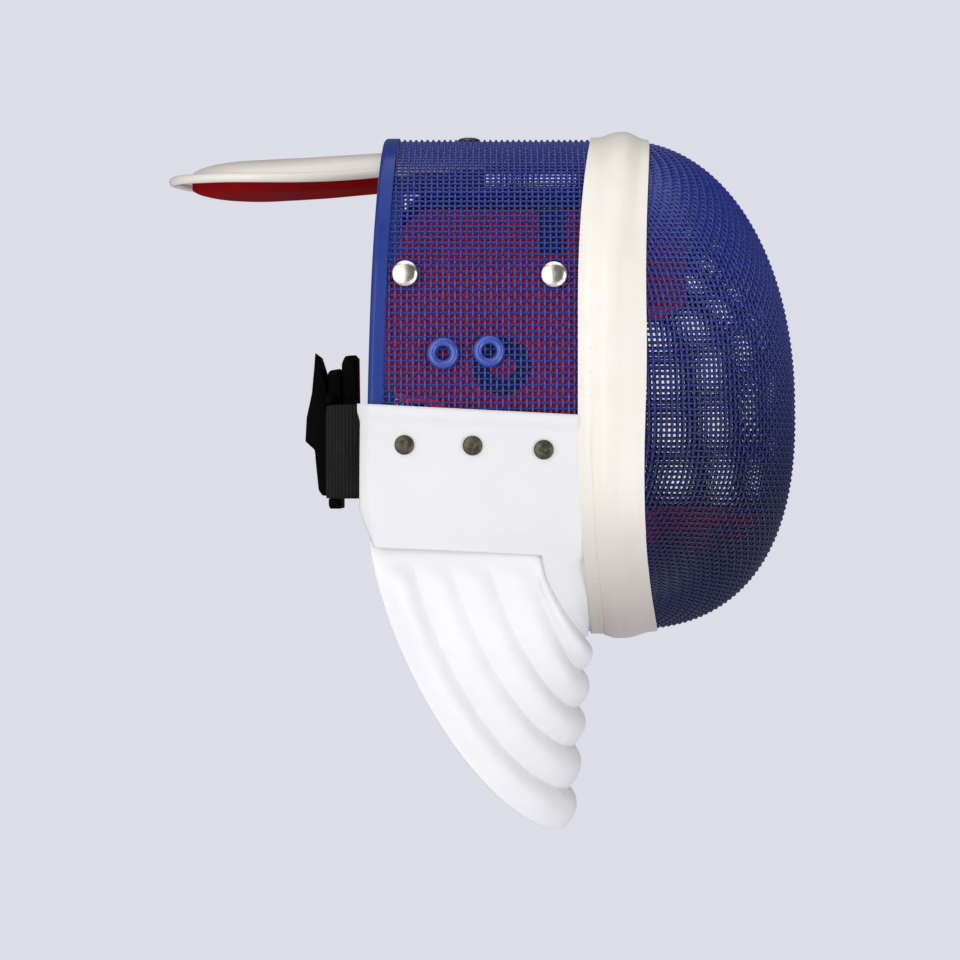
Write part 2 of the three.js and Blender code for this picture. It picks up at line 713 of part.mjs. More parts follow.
// A cup that follows the inside of the dome round the chin.
function chinPad() {
  const outer = [];
  const inner = [];
  const end = ovalAt(CHIN_PAD.end);
  for (const turn of spread(-1, 1, 14)) {
    const t = 1 - turn * (1 - end);
    const front = 1 - Math.abs(turn);
    const top = (CHIN_PAD.top - CHIN_PAD.fall * front - APEX_Z) / (ovalPoint(t).y - APEX_Z);
    const levels = spread(0, 1, 5);
    const share = (b) => lerp(top, CHIN_PAD.rim, b);
    const full = cushion((turn + 1) / 2, 0.5);
    const depth = (b) => 1 + (PAD_THICKNESS - 1) * full * cushion(0.5, b);
    const seat = -MESH - CHIN_PAD.gap;
    outer.push(levels.map((b) => domeOffset(t, share(b), seat)));
    inner.push(levels.map((b) => domeOffset(t, share(b), seat - depth(b))));
  }
  return wallGeometry(outer, inner);
}

// A thin patch between the side pad and the mesh.
function padTab(side) {
  const outer = [];
  const inner = [];
  for (const z of spread(PAD_TAB.top, PAD_TAB.bottom, 4)) {
    const row = spread(PAD_TAB.front, PAD_TAB.rear, 1);
    const depth = MESH + 2 * SEAT_GAP;
    outer.push(row.map((y) => archOffset(side * ovalAt(z), y, -depth)));
    inner.push(row.map((y) => archOffset(side * ovalAt(z), y, -depth - PAD_TAB.thickness)));
  }
  return wallGeometry(outer, inner);
}

// Fasteners

// Sets a turned piece on the shell, its axis along the shell's normal.
function placeOnArch(mesh, side, y, z, outwardsBy) {
  const t = side * ovalAt(z);
  const normal = normalOf(archPoint, t, y, 1e-3, 0.1);
  mesh.position.copy(archPoint(t, y).addScaledVector(normal, outwardsBy));
  mesh.quaternion.setFromUnitVectors(new THREE.Vector3(0, 1, 0), normal);
}

function turned(points, segments) {
  return new THREE.LatheGeometry(points.map(([r, h]) => new THREE.Vector2(r, h)), segments);
}

// A domed cap with a short straight edge.
function capGeometry({ radius, height }) {
  const edge = height * 0.3;
  return turned(
    [
      [0, 0],
      [radius, 0],
      [radius, edge],
      [radius * 0.86, lerp(edge, height, 0.5)],
      [radius * 0.5, lerp(edge, height, 0.88)],
      [0, height],
    ],
    12,
  );
}

// A rolled ring, flat underneath.
function eyeletGeometry({ bore, radius, height }) {
  const middle = (bore + radius) / 2;
  return turned(
    [
      [bore, 0],
      [radius, 0],
      [radius, height * 0.35],
      [lerp(middle, radius, 0.6), height * 0.85],
      [middle, height],
      [lerp(middle, bore, 0.6), height * 0.85],
      [bore, height * 0.35],
      [bore, 0],
    ],
    14,
  );
}

// The tongue

function tongueHalfWidth(y) {
  const share = (y - TONGUE_ROOT_Y) / (TONGUE_TIP_Y - TONGUE_ROOT_Y);
  const body = lerp(0.66, 1, smoothstep(share, 0.1, 0.75));
  const end = 0.74;
  const round = share > end ? Math.sqrt(Math.max(0, 1 - ((share - end) / (1 - end)) ** 2.2)) : 1;
  return TONGUE_HALF_WIDTH * body * round;
}

// Height of the tongue's edge plane, arched across its width.
function tongueZ(x, y) {
  return TONGUE_EDGE_Z - TONGUE_FALL * y - TONGUE_ARCH * (x / TONGUE_HALF_WIDTH) ** 2;
}

// One half of the padding: rows along the tongue, puffed up or down from its edge plane.
function tongueHalf(direction, puff, rearInset, start) {
  const end = TONGUE_TIP_Y - 2 * TONGUE_PIPING - rearInset;
  const shares = [0, 0.1, 0.3, 0.5, 0.68, 0.78, 0.87, 0.93, 0.97, 1];
  const across = [-1, -0.88, -0.5, 0, 0.5, 0.88, 1];
  const inset = 2 * TONGUE_PIPING + 1.6;
  const skin = 0.9;
  const outer = [];
  const inner = [];
  for (const share of shares) {
    const y = lerp(start, end, share);
    const reach = lerp(start, TONGUE_TIP_Y, share);
    const half = Math.max(1, tongueHalfWidth(Math.min(reach, TONGUE_TIP_Y - 1.5)) - inset);
    const along = Math.sin(Math.PI * clamp(share, 0.5, 0.96)) ** 0.35;
    const point = (a, rise) => {
      const x = half * a;
      return new THREE.Vector3(x, y, tongueZ(x, y) + direction * rise);
    };
    outer.push(across.map((a) => point(a, skin + puff * along * (1 - Math.abs(a) ** 2.6))));
    inner.push(across.map((a) => point(a, SEAT_GAP / 2)));
  }
  return wallGeometry(outer, inner);
}

function tonguePiping() {
  const points = [];
  const rows = [0, 0.1, 0.25, 0.4, 0.55, 0.68, 0.78, 0.86, 0.92, 0.96, 0.985, 0.998];
  const add = (share, side) => {
    const y = lerp(TONGUE_ROOT_Y, TONGUE_TIP_Y - TONGUE_PIPING, share);
    const x = side * (tongueHalfWidth(lerp(TONGUE_ROOT_Y, TONGUE_TIP_Y, share)) - TONGUE_PIPING);
    points.push(new THREE.Vector3(x, y, tongueZ(x, y)));
  };
  rows.forEach((share) => add(share, -1));
  [...rows].reverse().forEach((share) => add(share, 1));
  const section = new THREE.Shape();
  for (let k = 0; k < 8; k++) {
    const angle = (k / 8) * 2 * Math.PI;
    const corner = [TONGUE_PIPING * Math.cos(angle), TONGUE_PIPING * Math.sin(angle)];
    if (k === 0) section.moveTo(...corner);
    else section.lineTo(...corner);
  }
  const path = new THREE.CatmullRomCurve3(points, false, "centripetal");
  return new THREE.ExtrudeGeometry(section, { steps: 34, extrudePath: path, bevelEnabled: false });
}

// Strap and clasp

// The strap's outer face seen from above: along one side, round behind the neck and back.
function strapPath() {
  const z = STRAP_Z;
  const t = ovalAt(z);
  const half = archPoint(t, rearY(z)).x - STRAP_INSIDE;
  const turnY = rearY(z) + 2;
  const side = spread(STRAP_START_Y, turnY, 3).slice(0, -1).map((y) => [half, y]);
  const straight = CLASP_WIDTH / 2 + 1;
  const round = spread(0, 1, 10).map((share) => {
    const turn = (share * Math.PI) / 2;
    return [
      straight + (half - straight) * Math.max(0, Math.cos(turn)) ** (2 / STRAP_POWER),
      turnY + (STRAP_BACK_Y - turnY) * Math.sin(turn) ** (2 / STRAP_POWER),
    ];
  });
  const left = [...side, ...round];
  return [...left, ...left.map(([x, y]) => [-x, y]).reverse()];
}

function neckStrap() {
  const path = strapPath();
  const heights = [STRAP_Z - STRAP_WIDTH / 2, STRAP_Z + STRAP_WIDTH / 2];
  const outer = [];
  const inner = [];
  path.forEach(([x, y], k) => {
    const [ax, ay] = path[Math.max(0, k - 1)];
    const [bx, by] = path[Math.min(path.length - 1, k + 1)];
    const along = new THREE.Vector2(bx - ax, by - ay).normalize();
    outer.push(heights.map((z) => new THREE.Vector3(x, y, z)));
    inner.push(
      heights.map((z) => new THREE.Vector3(x - STRAP_WALL * along.y, y + STRAP_WALL * along.x, z)),
    );
  });
  const inwards = inner[1][0].x < outer[1][0].x;
  if (inwards) return wallGeometry(outer, inner);
  const flipped = outer.map((row, i) => row.map((p, j) => p.clone().multiplyScalar(2).sub(inner[i][j])));
  return wallGeometry(outer, flipped);
}

// A piece of the clasp: its side profile, carried across its width.
function claspGeometry(profile, width) {
  const points = profile.map(({ behind, z }) => new THREE.Vector2(STRAP_BACK_Y + behind, z));
  const settings = { depth: width, bevelEnabled: false };
  const geometry = new THREE.ExtrudeGeometry(new THREE.Shape(points), settings);
  // The profile's X becomes Y and its Y becomes Z, so its depth runs along X.
  const axes = new THREE.Matrix4().makeBasis(
    new THREE.Vector3(0, 1, 0),
    new THREE.Vector3(0, 0, 1),
    new THREE.Vector3(1, 0, 0),
  );
  return geometry.applyMatrix4(axes).translate(-width / 2, 0, 0);
}

// Assembly
addMesh("face_mesh", faceMesh(), PAINT);
addMesh("side_mesh", sideMesh(), PAINT);
addMesh("rear_rim", rearRim(), PAINT);
addMesh("trim_band", trimBand(), CREAM);
addMesh("bib_flap", bibFlap(), WHITE_CLOTH);
addMesh("bib_pad", bibPad(), WHITE_CLOTH);
addMesh("forehead_pad", foreheadPad(), RED_CLOTH);
addMesh("chin_pad", chinPad(), RED_CLOTH);

for (const [sideName, side] of [
  ["right", -1],
  ["left", 1],
]) {
  addMesh(`side_pad_${sideName}`, sidePad(side), RED_CLOTH);
  addMesh(`pad_tab_${sideName}`, padTab(side), BLACK_WEB);
  const earRing = addMesh(`ear_ring_${sideName}`, eyeletGeometry(EAR_RING), BLACK_WEB);
  placeOnArch(earRing, side, EAR_RING.y, EAR_RING.z, -MESH - SEAT_GAP - EAR_RING.height);
  for (const { name, y, z } of SNAP_PLACES) {
    placeOnArch(addMesh(`snap_${name}_${sideName}`, capGeometry(SNAP), CHROME), side, y, z, SEAT_GAP);
  }
  for (const { name, y, z } of EYELET_PLACES) {
    const eyelet = addMesh(`eyelet_${name}_${sideName}`, eyeletGeometry(EYELET), PAINT);
    placeOnArch(eyelet, side, y, z, SEAT_GAP);
  }
  for (const { name, y, z } of RIVET_PLACES) {
    const rivet = addMesh(`bib_rivet_${name}_${sideName}`, capGeometry(RIVET), GUNMETAL);
    placeOnArch(rivet, side, y, z, 2 * SEAT_GAP + FLAP_WALL);
  }
}

addMesh("tongue_cover", tongueHalf(1, TONGUE_PUFF, 6, TONGUE_ROOT_Y), CREAM);
addMesh("tongue_pad", tongueHalf(-1, TONGUE_PAD, 8, TONGUE_ROOT_Y), RED_CLOTH);
addMesh("tongue_piping", tonguePiping(), CREAM);
const tongueRivet = addMesh("tongue_rivet", capGeometry(TONGUE_RIVET), GUNMETAL);
tongueRivet.position.set(0, 0, TOP_Z + SEAT_GAP);
tongueRivet.quaternion.setFromUnitVectors(new THREE.Vector3(0, 1, 0), new THREE.Vector3(0, 0, 1));

addMesh("neck_strap", neckStrap(), BLACK_WEB);
const claspNarrow = CLASP_WIDTH - 2 * CLASP_FRAME_INSET;
addMesh("clasp_cover", claspGeometry(CLASP_COVER, CLASP_WIDTH), BLACK_PLASTIC);
addMesh("clasp_frame", claspGeometry(CLASP_FRAME, claspNarrow), BLACK_PLASTIC);
addMesh("clasp_backplate", claspGeometry(CLASP_BACKPLATE, claspNarrow - 6), BLACK_PLASTIC);

export default mask;
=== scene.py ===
# %% [markdown]
# A fencing mask is a cage of woven steel wire with cloth below it. The wire is what the eye sees first, so
# this script lays every wire of it. The cloth, the pads and the fasteners follow. Each piece sits where its
# solid in the frame sits, and takes that solid's place.

# %% The frame, and what the cells below share
import functools
import math

import bmesh
import bpy
import numpy as np
from mathutils import Matrix, Vector, noise


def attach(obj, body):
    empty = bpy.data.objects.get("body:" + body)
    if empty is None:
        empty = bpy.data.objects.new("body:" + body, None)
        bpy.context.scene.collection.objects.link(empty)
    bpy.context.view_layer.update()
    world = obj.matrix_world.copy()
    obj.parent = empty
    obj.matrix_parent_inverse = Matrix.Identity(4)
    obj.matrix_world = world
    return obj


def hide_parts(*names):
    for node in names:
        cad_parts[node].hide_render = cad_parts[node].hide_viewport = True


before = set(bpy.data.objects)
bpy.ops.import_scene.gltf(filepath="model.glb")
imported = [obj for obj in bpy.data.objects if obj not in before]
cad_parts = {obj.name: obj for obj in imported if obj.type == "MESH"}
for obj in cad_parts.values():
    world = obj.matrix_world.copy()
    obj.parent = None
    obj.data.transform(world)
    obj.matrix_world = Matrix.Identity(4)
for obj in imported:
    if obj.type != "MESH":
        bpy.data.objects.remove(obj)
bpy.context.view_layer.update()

MM = 0.001


def add(name, data):
    """A new object in the scene."""
    made = bpy.data.objects.new(name, data)
    bpy.context.scene.collection.objects.link(made)
    return made


def clamp(share):
    return min(max(share, 0), 1)


# %% [markdown]
# The camera stands 1.6 m away at the wearer's right, level with the jaw, and looks straight across. From
# there one pixel is 0.55 mm on the mask's plane of symmetry. A long lens gives that field at that distance.

# %% Camera
EYE = Vector((-1600, -6.05, -159.8)) * MM
FIELD_WIDTH = 960 * 0.55 * MM

camera = bpy.data.cameras.new("camera")
camera.sensor_width = 36
camera.lens = camera.sensor_width * abs(EYE.x) / FIELD_WIDTH
eye = add("eye", camera)
eye.location = EYE
eye.rotation_euler = Vector((1, 0, 0)).to_track_quat("-Z", "Y").to_euler()
bpy.context.scene.camera = eye
print("lens:", round(camera.lens, 1), "mm")

# %% [markdown]
# A material is a graph of nodes. Written out one by one the sums in it are long, so a small class stands
# for a socket and lets Python's own signs add the Math nodes. Everything else comes from one method, which
# makes a node, sets it up and joins it.

# %% Materials as sums
class Value:
    """A socket of a material. Sums on it add Math nodes."""

    def __init__(self, paint, socket):
        self.paint, self.socket = paint, socket

    def sum(self, operation, *terms):
        return self.paint.node("Math", {"operation": operation}, list(terms))

    def __add__(self, other):
        return self.sum("ADD", self, other)

    def __sub__(self, other):
        return self.sum("SUBTRACT", self, other)

    def __mul__(self, other):
        return self.sum("MULTIPLY", self, other)

    def __pow__(self, other):
        return self.sum("POWER", self, other)

    def larger(self, other):
        return self.sum("MAXIMUM", self, other)

    def above(self, edge, soft):
        """0 below the edge, 1 above it, with a soft step between."""
        ends = {"Value": self, "From Min": edge, "From Max": edge + soft}
        return self.paint.node("MapRange", {"interpolation_type": "SMOOTHSTEP"}, ends)


def srgb(red, green, blue):
    """A colour as a paint program names it, as the linear colour that a shader takes."""
    shares = [level / 255 for level in (red, green, blue)]
    return (*[c / 12.92 if c < 0.04 else ((c + 0.055) / 1.055) ** 2.4 for c in shares], 1)


class Paint:
    """A material with one Principled shader. Constants go straight to the shader's sockets."""

    def __init__(self, name, **constants):
        self.material = bpy.data.materials.new(name)
        self.material.use_nodes = True
        self.tree = self.material.node_tree
        self.shader = self.tree.nodes["Principled BSDF"]
        for socket, constant in constants.items():
            self.shader.inputs[socket.replace("_", " ")].default_value = constant

    def node(self, kind, settings=None, inputs=None, output=0):
        made = self.tree.nodes.new("ShaderNode" + kind)
        for name, setting in (settings or {}).items():
            setattr(made, name, setting)
        pairs = inputs.items() if isinstance(inputs, dict) else enumerate(inputs or [])
        for key, given in pairs:
            if isinstance(given, Value):
                self.tree.links.new(given.socket, made.inputs[key])
            else:
                made.inputs[key].default_value = given
        return Value(self, made.outputs[output])

    def place(self):
        """Where a point is on the object, in metres."""
        return self.node("TexCoord", output="Object")

    def axis(self, k):
        """One coordinate of that point: 0 is X, 1 is Y and 2 is Z."""
        return self.node("SeparateXYZ", {}, {"Vector": self.place()}, output=k)

    def noise(self, scale, detail=2.0, roughness=0.5):
        inputs = {"Vector": self.place(), "Scale": scale, "Detail": detail, "Roughness": roughness}
        return self.node("TexNoise", {}, inputs)

    def mix(self, share, first, second):
        """A colour between two, each a Value or a colour as srgb takes it. The node's colour sockets have the
        numbers 6, 7 and, going out, 2."""
        first, second = (c if isinstance(c, Value) else srgb(*c) for c in (first, second))
        return self.node("Mix", {"data_type": "RGBA"}, {0: share, 6: first, 7: second}, output=2)

    def feed(self, socket, value):
        self.tree.links.new(value.socket, self.shader.inputs[socket])
        return self

    def colour(self, share, first, second):
        return self.feed("Base Color", self.mix(share, first, second))

    def bump(self, height, depth_mm, strength=1.0):
        """Relief that only bends the light: height runs from 0 to 1 over a depth in millimetres."""
        inputs = {"Height": height, "Distance": depth_mm * MM, "Strength": strength}
        return self.feed("Normal", self.node("Bump", {}, inputs))


def thread_wave(paint, axis, pitch_mm):
    """A row of threads across one axis of the object: 0 between them and 1 on their crests."""
    turn = paint.axis(axis) * (2 * math.pi / (pitch_mm * MM))
    return turn.sum("SINE", turn) * 0.5 + 0.5


# %% [markdown]
# Two helpers turn a function into a mesh. Both start from bmesh's grid. One moves its vertices onto a
# surface. The other makes a front and a back from two grids and bridges their edges, which gives a closed
# cushion.

# %% Grids laid on surfaces
def grid(bm, surface, across, along):
    """A grid on surface(u, v), where u and v run from 0 to 1. Its vertices carry u and v."""
    u_layer = bm.verts.layers.float.get("u") or bm.verts.layers.float.new("u")
    v_layer = bm.verts.layers.float.get("v") or bm.verts.layers.float.new("v")
    made = bmesh.ops.create_grid(bm, x_segments=across, y_segments=along, size=0.5)["verts"]
    for vertex in made:
        u, v = vertex.co.x + 0.5, vertex.co.y + 0.5
        vertex[u_layer], vertex[v_layer] = u, v
        vertex.co = surface(u, v)
    return made


def finish(bm, name, paint, replaced=(), slot=None):
    """A bmesh as a piece of the mask."""
    mesh = bpy.data.meshes.new(name)
    bm.to_mesh(mesh)
    bm.free()
    return piece(mesh, name, paint, replaced, slot)


def piece(mesh, name, paint, replaced=(), slot=None):
    mesh.shade_smooth()
    mesh.materials.append(paint.material)
    made = add(name, mesh)
    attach(made, "root")
    if replaced:
        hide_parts(*replaced)
    print(name, "faces:", len(mesh.polygons))
    return made


def cushion(surface, across, along, keep=None):
    """A closed form between surface(u, v, True), its front, and surface(u, v, False), its back. Where
    keep(u, v) is given, the cells that it doesn't keep are left out of both."""
    bm = bmesh.new()
    for outer in (True, False):
        grid(bm, lambda u, v: surface(u, v, outer), across, along)
    if keep:
        layers = [bm.verts.layers.float[name] for name in "uv"]
        lost = [f for f in bm.faces if not keep(*(sum(vert[one] for vert in f.verts) / 4 for one in layers))]
        bmesh.ops.delete(bm, geom=lost, context="FACES")
    bmesh.ops.bridge_loops(bm, edges=[e for e in bm.edges if e.is_boundary])
    bmesh.ops.recalc_face_normals(bm, faces=bm.faces)
    return bm


def smoothstep(x, low, high):
    share = clamp((x - low) / (high - low))
    return share * share * (3 - 2 * share)


def mix(a, b, share):
    return a + (b - a) * share


def placed(place, normal, size=(1, 1, 1)):
    """The matrix that puts a form of a size in millimetres at a place, its Z along the normal."""
    turn = Vector((0, 0, 1)).rotation_difference(normal).to_matrix().to_4x4()
    return Matrix.Translation(place * MM) @ turn @ Matrix.Diagonal((*[s * MM for s in size], 1))


def lengths_along(points):
    """The length of a path up to each of its points."""
    return np.concatenate([[0], np.cumsum(np.linalg.norm(np.diff(points, axis=0), axis=1))])


# %% [markdown]
# The cage has two surfaces that meet in an oval. The dome is a rounded form over the face. The arch runs
# from the oval back over the head. Both are written once as functions in millimetres, from the same named
# sizes as the solids, so that wires, band, cloth and pads agree.

# %% The oval, the dome and the arch
MESH = 2.2  # two wires that cross
HALF_WIDTH, ARCH_HEIGHT, CHEEK_HEIGHT, CHIN_HEIGHT = 97.0, 98.0, 50.5, 118.8
ARCH_POWER, CHIN_POWER = 2.3, 2.2
ARCH_SHARE, CHEEK_SHARE = 0.42, 0.55  # of the way to the chin, where the arch and the straight cheek end
TOP_Z, JOINT_Y, JOINT_BOW = 25.5, -83.6, 10.0
FACE_DEPTH, ARCH_DEPTH, REAR_LEAN, JAW_TAPER = 94.6, 128.1, 7.0, 5.0
ARCH_Z = TOP_Z - ARCH_HEIGHT
APEX_Z = ARCH_Z - CHEEK_HEIGHT
APEX_Y = JOINT_Y - FACE_DEPTH
REAR_Y = JOINT_Y + ARCH_DEPTH
LEG_END_Z = -174.0
SEAT_GAP = 0.3
MIDDLE = Vector((0, (JOINT_Y + REAR_Y) / 2, APEX_Z))


def oval(t):
    """A point (x, z) of the joint. t is 0 at the top and 1 or -1 at the chin."""
    a, side = min(abs(t), 2 - abs(t)), math.copysign(1, t) * (-1 if abs(t) > 1 else 1)
    if a <= ARCH_SHARE:
        turn, power, corner, height = a / ARCH_SHARE * math.pi / 2, 2 / ARCH_POWER, ARCH_Z, ARCH_HEIGHT
        return side * HALF_WIDTH * math.sin(turn) ** power, corner + height * max(0, math.cos(turn)) ** power
    if a <= CHEEK_SHARE:
        return side * HALF_WIDTH, mix(ARCH_Z, APEX_Z, (a - ARCH_SHARE) / (CHEEK_SHARE - ARCH_SHARE))
    turn, power = (a - CHEEK_SHARE) / (1 - CHEEK_SHARE) * math.pi / 2, 2 / CHIN_POWER
    return side * HALF_WIDTH * max(0, math.cos(turn)) ** power, APEX_Z - CHIN_HEIGHT * math.sin(turn) ** power


@functools.lru_cache(maxsize=None)
def oval_at(z):
    """The t of the oval at a height."""
    low, high = 0.0, 1.0
    for _ in range(40):
        middle = (low + high) / 2
        low, high = (middle, high) if oval(middle)[1] > z else (low, middle)
    return low


def joint_y(t):
    return JOINT_Y + JOINT_BOW * (oval(t)[0] / HALF_WIDTH) ** 2


def rear_y(z):
    share = clamp((TOP_Z - z) / (TOP_Z - LEG_END_Z))
    return REAR_Y + REAR_LEAN * (1 - (1 - share) ** 2)


def dome_power(t):
    reach = oval(t)[1] - APEX_Z
    return 2.3 - 0.2 * (reach / (TOP_Z - APEX_Z) if reach > 0 else reach / CHIN_HEIGHT)


def dome(t, share):
    x, z = oval(t)
    power = dome_power(t)
    depth = (joint_y(t) - APEX_Y) * max(0, 1 - share**power) ** (1 / power)
    return Vector((x * share, joint_y(t) - depth, APEX_Z + (z - APEX_Z) * share))


def dome_share(t, depth):
    power = dome_power(t)
    return (1 - (depth / (joint_y(t) - APEX_Y)) ** power) ** (1 / power)


def arch(t, y):
    x, z = oval(t)
    below = max(0, APEX_Z - z) / CHIN_HEIGHT
    rear_x = abs(x if z > APEX_Z else HALF_WIDTH) - JAW_TAPER * below**2
    share = min(max((y - joint_y(t)) / (rear_y(z) - joint_y(t)), 0), 2)
    return Vector((math.copysign(1, x) * mix(abs(x), rear_x, share), y, z))


def normal_of(surface, a, b, step_a, step_b):
    along_a = surface(a + step_a, b) - surface(a - step_a, b)
    along_b = surface(a, b + step_b) - surface(a, b - step_b)
    normal = along_a.cross(along_b).normalized()
    return -normal if normal.dot(surface(a, b) - MIDDLE) < 0 else normal


def oval_normal(t):
    (ax, az), (bx, bz) = oval(t - 1e-3), oval(t + 1e-3)
    normal = Vector((bz - az, 0, ax - bx)).normalized()
    x, z = oval(t)
    return -normal if normal.x * x + normal.z * (z - APEX_Z) < 0 else normal


def on_arch(t, y, out):
    return arch(t, y) + normal_of(arch, t, y, 1e-3, 0.1) * out


def on_dome(t, share, out):
    return dome(t, share) + (oval_normal(t) if share > 0.995 else normal_of(dome, t, share, 1e-3, 1e-3)) * out


def on_shell(t, behind, out):
    """A point off the shell, behind the joint, or in front of it where behind is negative."""
    if behind < 0:
        return on_dome(t, dome_share(t, -behind), out)
    return arch(t, joint_y(t) + behind) + oval_normal(t) * out


print("dome:", [round(v) for v in dome(0, 0)], "chin:", [round(v) for v in dome(1, 1)])

# %% [markdown]
# A flat piece of woven wire is pressed into the dome. The wires can't stretch, so the squares between them
# shear into diamonds towards the corners. That net can be worked out: it starts from two wires that cross
# at the front, and each further crossing lies one pitch from its two neighbours on the surface. Newton's
# method finds a whole diagonal of crossings at once.

# %% Crossings of the wire on the dome
PITCH = 3.1
TURNS = np.linspace(0, 1, 1500)
OUTLINE = np.array([oval(t) for t in TURNS])
ANGLES = np.arctan2(OUTLINE[:, 0], OUTLINE[:, 1] - APEX_Z)
RADII = np.hypot(OUTLINE[:, 0], OUTLINE[:, 1] - APEX_Z)
JOINTS = np.array([joint_y(t) for t in TURNS])
POWERS = np.array([dome_power(t) for t in TURNS])


def dome_level(p):
    """0 on the dome's outside, more beyond it, for rows of points."""
    across, up = np.abs(p[:, 0]), p[:, 2] - APEX_Z
    angle = np.arctan2(across, up)
    radius, joint, power = (np.interp(angle, ANGLES, row) for row in (RADII, JOINTS, POWERS))
    share = np.hypot(across, up) / radius
    depth = np.clip((joint - p[:, 1]) / (joint - APEX_Y), 0, None)
    return share**power + depth**power - 1


def slope(level, p, step=0.02):
    """The gradient of a level, by central differences."""
    return np.stack([(level(p + d) - level(p - d)) / (2 * step) for d in np.eye(3) * step], axis=1)


def meet(level, guess, rules):
    """Points on a level that keep two further rules each. A rule gives its misses and their gradients."""
    p = guess.copy()
    for _ in range(8):
        misses, rows = [level(p)], [slope(level, p)]
        for rule in rules:
            miss, row = rule(p)
            misses.append(miss)
            rows.append(row)
        step = np.linalg.solve(np.stack(rows, axis=1), np.stack(misses, axis=1)[:, :, None])[:, :, 0]
        p -= np.clip(step, -PITCH, PITCH)
    return p


def at_pitch(anchor):
    def rule(p):
        away = p - anchor
        return (away**2).sum(axis=1) - PITCH**2, 2 * away
    return rule


def in_plane(axis, value):
    def rule(p):
        return p[:, axis] - value, np.tile(np.eye(3)[axis], (len(p), 1))
    return rule


def first_wire(level, start, direction, axis, value, past):
    """Crossings along the wire that stays in a plane, until they are past the edge."""
    points = [np.array(start, float)]
    heading = np.array(direction, float)
    while not past(points[-1]):
        here = points[-1][None, :]
        new = meet(level, here + heading * PITCH, [at_pitch(here), in_plane(axis, value)])[0]
        heading = (new - points[-1]) / PITCH
        points.append(new)
    return points


DOME_EDGE = 2.0  # the wires end this far behind the joint, under the band
STEPS = ((1, 0), (0, 1), (1, 1))  # from a crossing back to the three that it is worked out from


def past_dome(p):
    angle = math.atan2(abs(p[0]), p[2] - APEX_Z)
    return p[1] > np.interp(angle, ANGLES, JOINTS) + DOME_EDGE


def dome_quarter(up):
    """Crossings (i, j) of a quarter of the dome: i counts wires sideways and j up or down."""
    start = (0, APEX_Y, APEX_Z)
    sideways = first_wire(dome_level, start, (1, 0, 0), 2, APEX_Z, past_dome)
    upwards = first_wire(dome_level, start, (0, 0, up), 0, 0.0, past_dome)
    found = {(i, 0): p for i, p in enumerate(sideways)} | {(0, j): p for j, p in enumerate(upwards)}
    for total in range(2, len(sideways) + len(upwards)):
        cells = [(i, total - i) for i in range(1, total)]
        cells = [(i, j) for i, j in cells if all((i - a, j - b) in found for a, b in STEPS)]
        cells = [(i, j) for i, j in cells if not (past_dome(found[i - 1, j]) and past_dome(found[i, j - 1]))]
        if not cells:
            break
        left, below, corner = (np.array([found[i - a, j - b] for i, j in cells]) for a, b in STEPS)
        new = meet(dome_level, left + below - corner, [at_pitch(left), at_pitch(below)])
        for cell, p in zip(cells, new):
            if np.isfinite(p).all():
                found[cell] = p
    return found


quarters = {up: dome_quarter(up) for up in (1, -1)}
print("crossings a side:", [len(q) for q in quarters.values()])

# %% [markdown]
# Each wire is a line through its crossings that steps over one neighbour and under the next. The upright
# wires bend most and the level ones stay almost straight, as in the photograph. A curve with a round bevel
# gives the line its thickness, and Blender turns all the curves of one direction into one mesh.

# %% Wires from crossings
DRAWN_WIRE, DOME_WIRE = 1.38, 1.66  # the wire with its thick coat of paint
DOME_LEVEL_BEND, ARCH_LEVEL_BEND = 0.55, 0.25  # how far the level wires step in and out


def wire_paint(name, deep, bright, coat):
    """Blue paint with painted shade: on the dome in front of Y = -100 mm it darkens towards the bottom, to a
    dark blue, and its coat thins with it.
    """
    paint = Paint(name, Specular_IOR_Level=0.3, Coat_Roughness=0.12)
    # Painted shade: where lit is 0 the colour is a dark blue and there is no coat, standing in for the shade
    # on the lower front of the dome.
    lit = paint.axis(1).above(-0.1, 0.02).larger(paint.axis(2).above(-0.2, 0.2))
    paint.colour(lit, (10, 17, 58), paint.mix(paint.noise(900, 2).above(0.35, 0.4), deep, bright))
    paint.feed("Coat Weight", lit * coat)
    paint.feed("Roughness", paint.noise(240, 3) * 0.25 + 0.2)
    return paint


# The upright wires take a lighter copy of the same blue paint with more coat: a painted highlight, standing
# in for the light that they catch from the lamps at the sides.
level_paint = wire_paint("blue_paint", (23, 38, 108), (37, 55, 144), 0.1)
upright_paint_painted_highlight = wire_paint("blue_paint_upright_painted_highlight", (30, 43, 116), (47, 61, 152), 0.3)


def wires(name, paths, paint, replaced, width, roundness=1, slot=None):
    """Round wires along paths of points in millimetres, as one mesh."""
    curve = bpy.data.curves.new(name, "CURVE")
    curve.dimensions = "3D"
    curve.bevel_depth = width / 2 * MM
    curve.bevel_resolution = roundness
    curve.use_fill_caps = True
    for path in paths:
        line = curve.splines.new("POLY")
        line.points.add(len(path) - 1)
        flat = np.concatenate([np.array(path) * MM, np.ones((len(path), 1))], axis=1)
        line.points.foreach_set("co", flat.ravel())
    rough = add(name + "_rough", curve)
    bpy.context.view_layer.update()
    mesh = bpy.data.meshes.new_from_object(rough.evaluated_get(bpy.context.evaluated_depsgraph_get()))
    bpy.data.objects.remove(rough)
    bpy.data.curves.remove(curve)
    mesh.materials.clear()
    mesh.name = name
    return piece(mesh, name, paint, replaced, slot)


def runs(cells):
    """Splits (key, point) pairs in order into stretches with no crossing missing."""
    stretch, last = [], None
    for key, point in cells:
        if last is not None and key != last + 1:
            yield stretch
            stretch = []
        stretch.append(point)
        last = key
    yield stretch


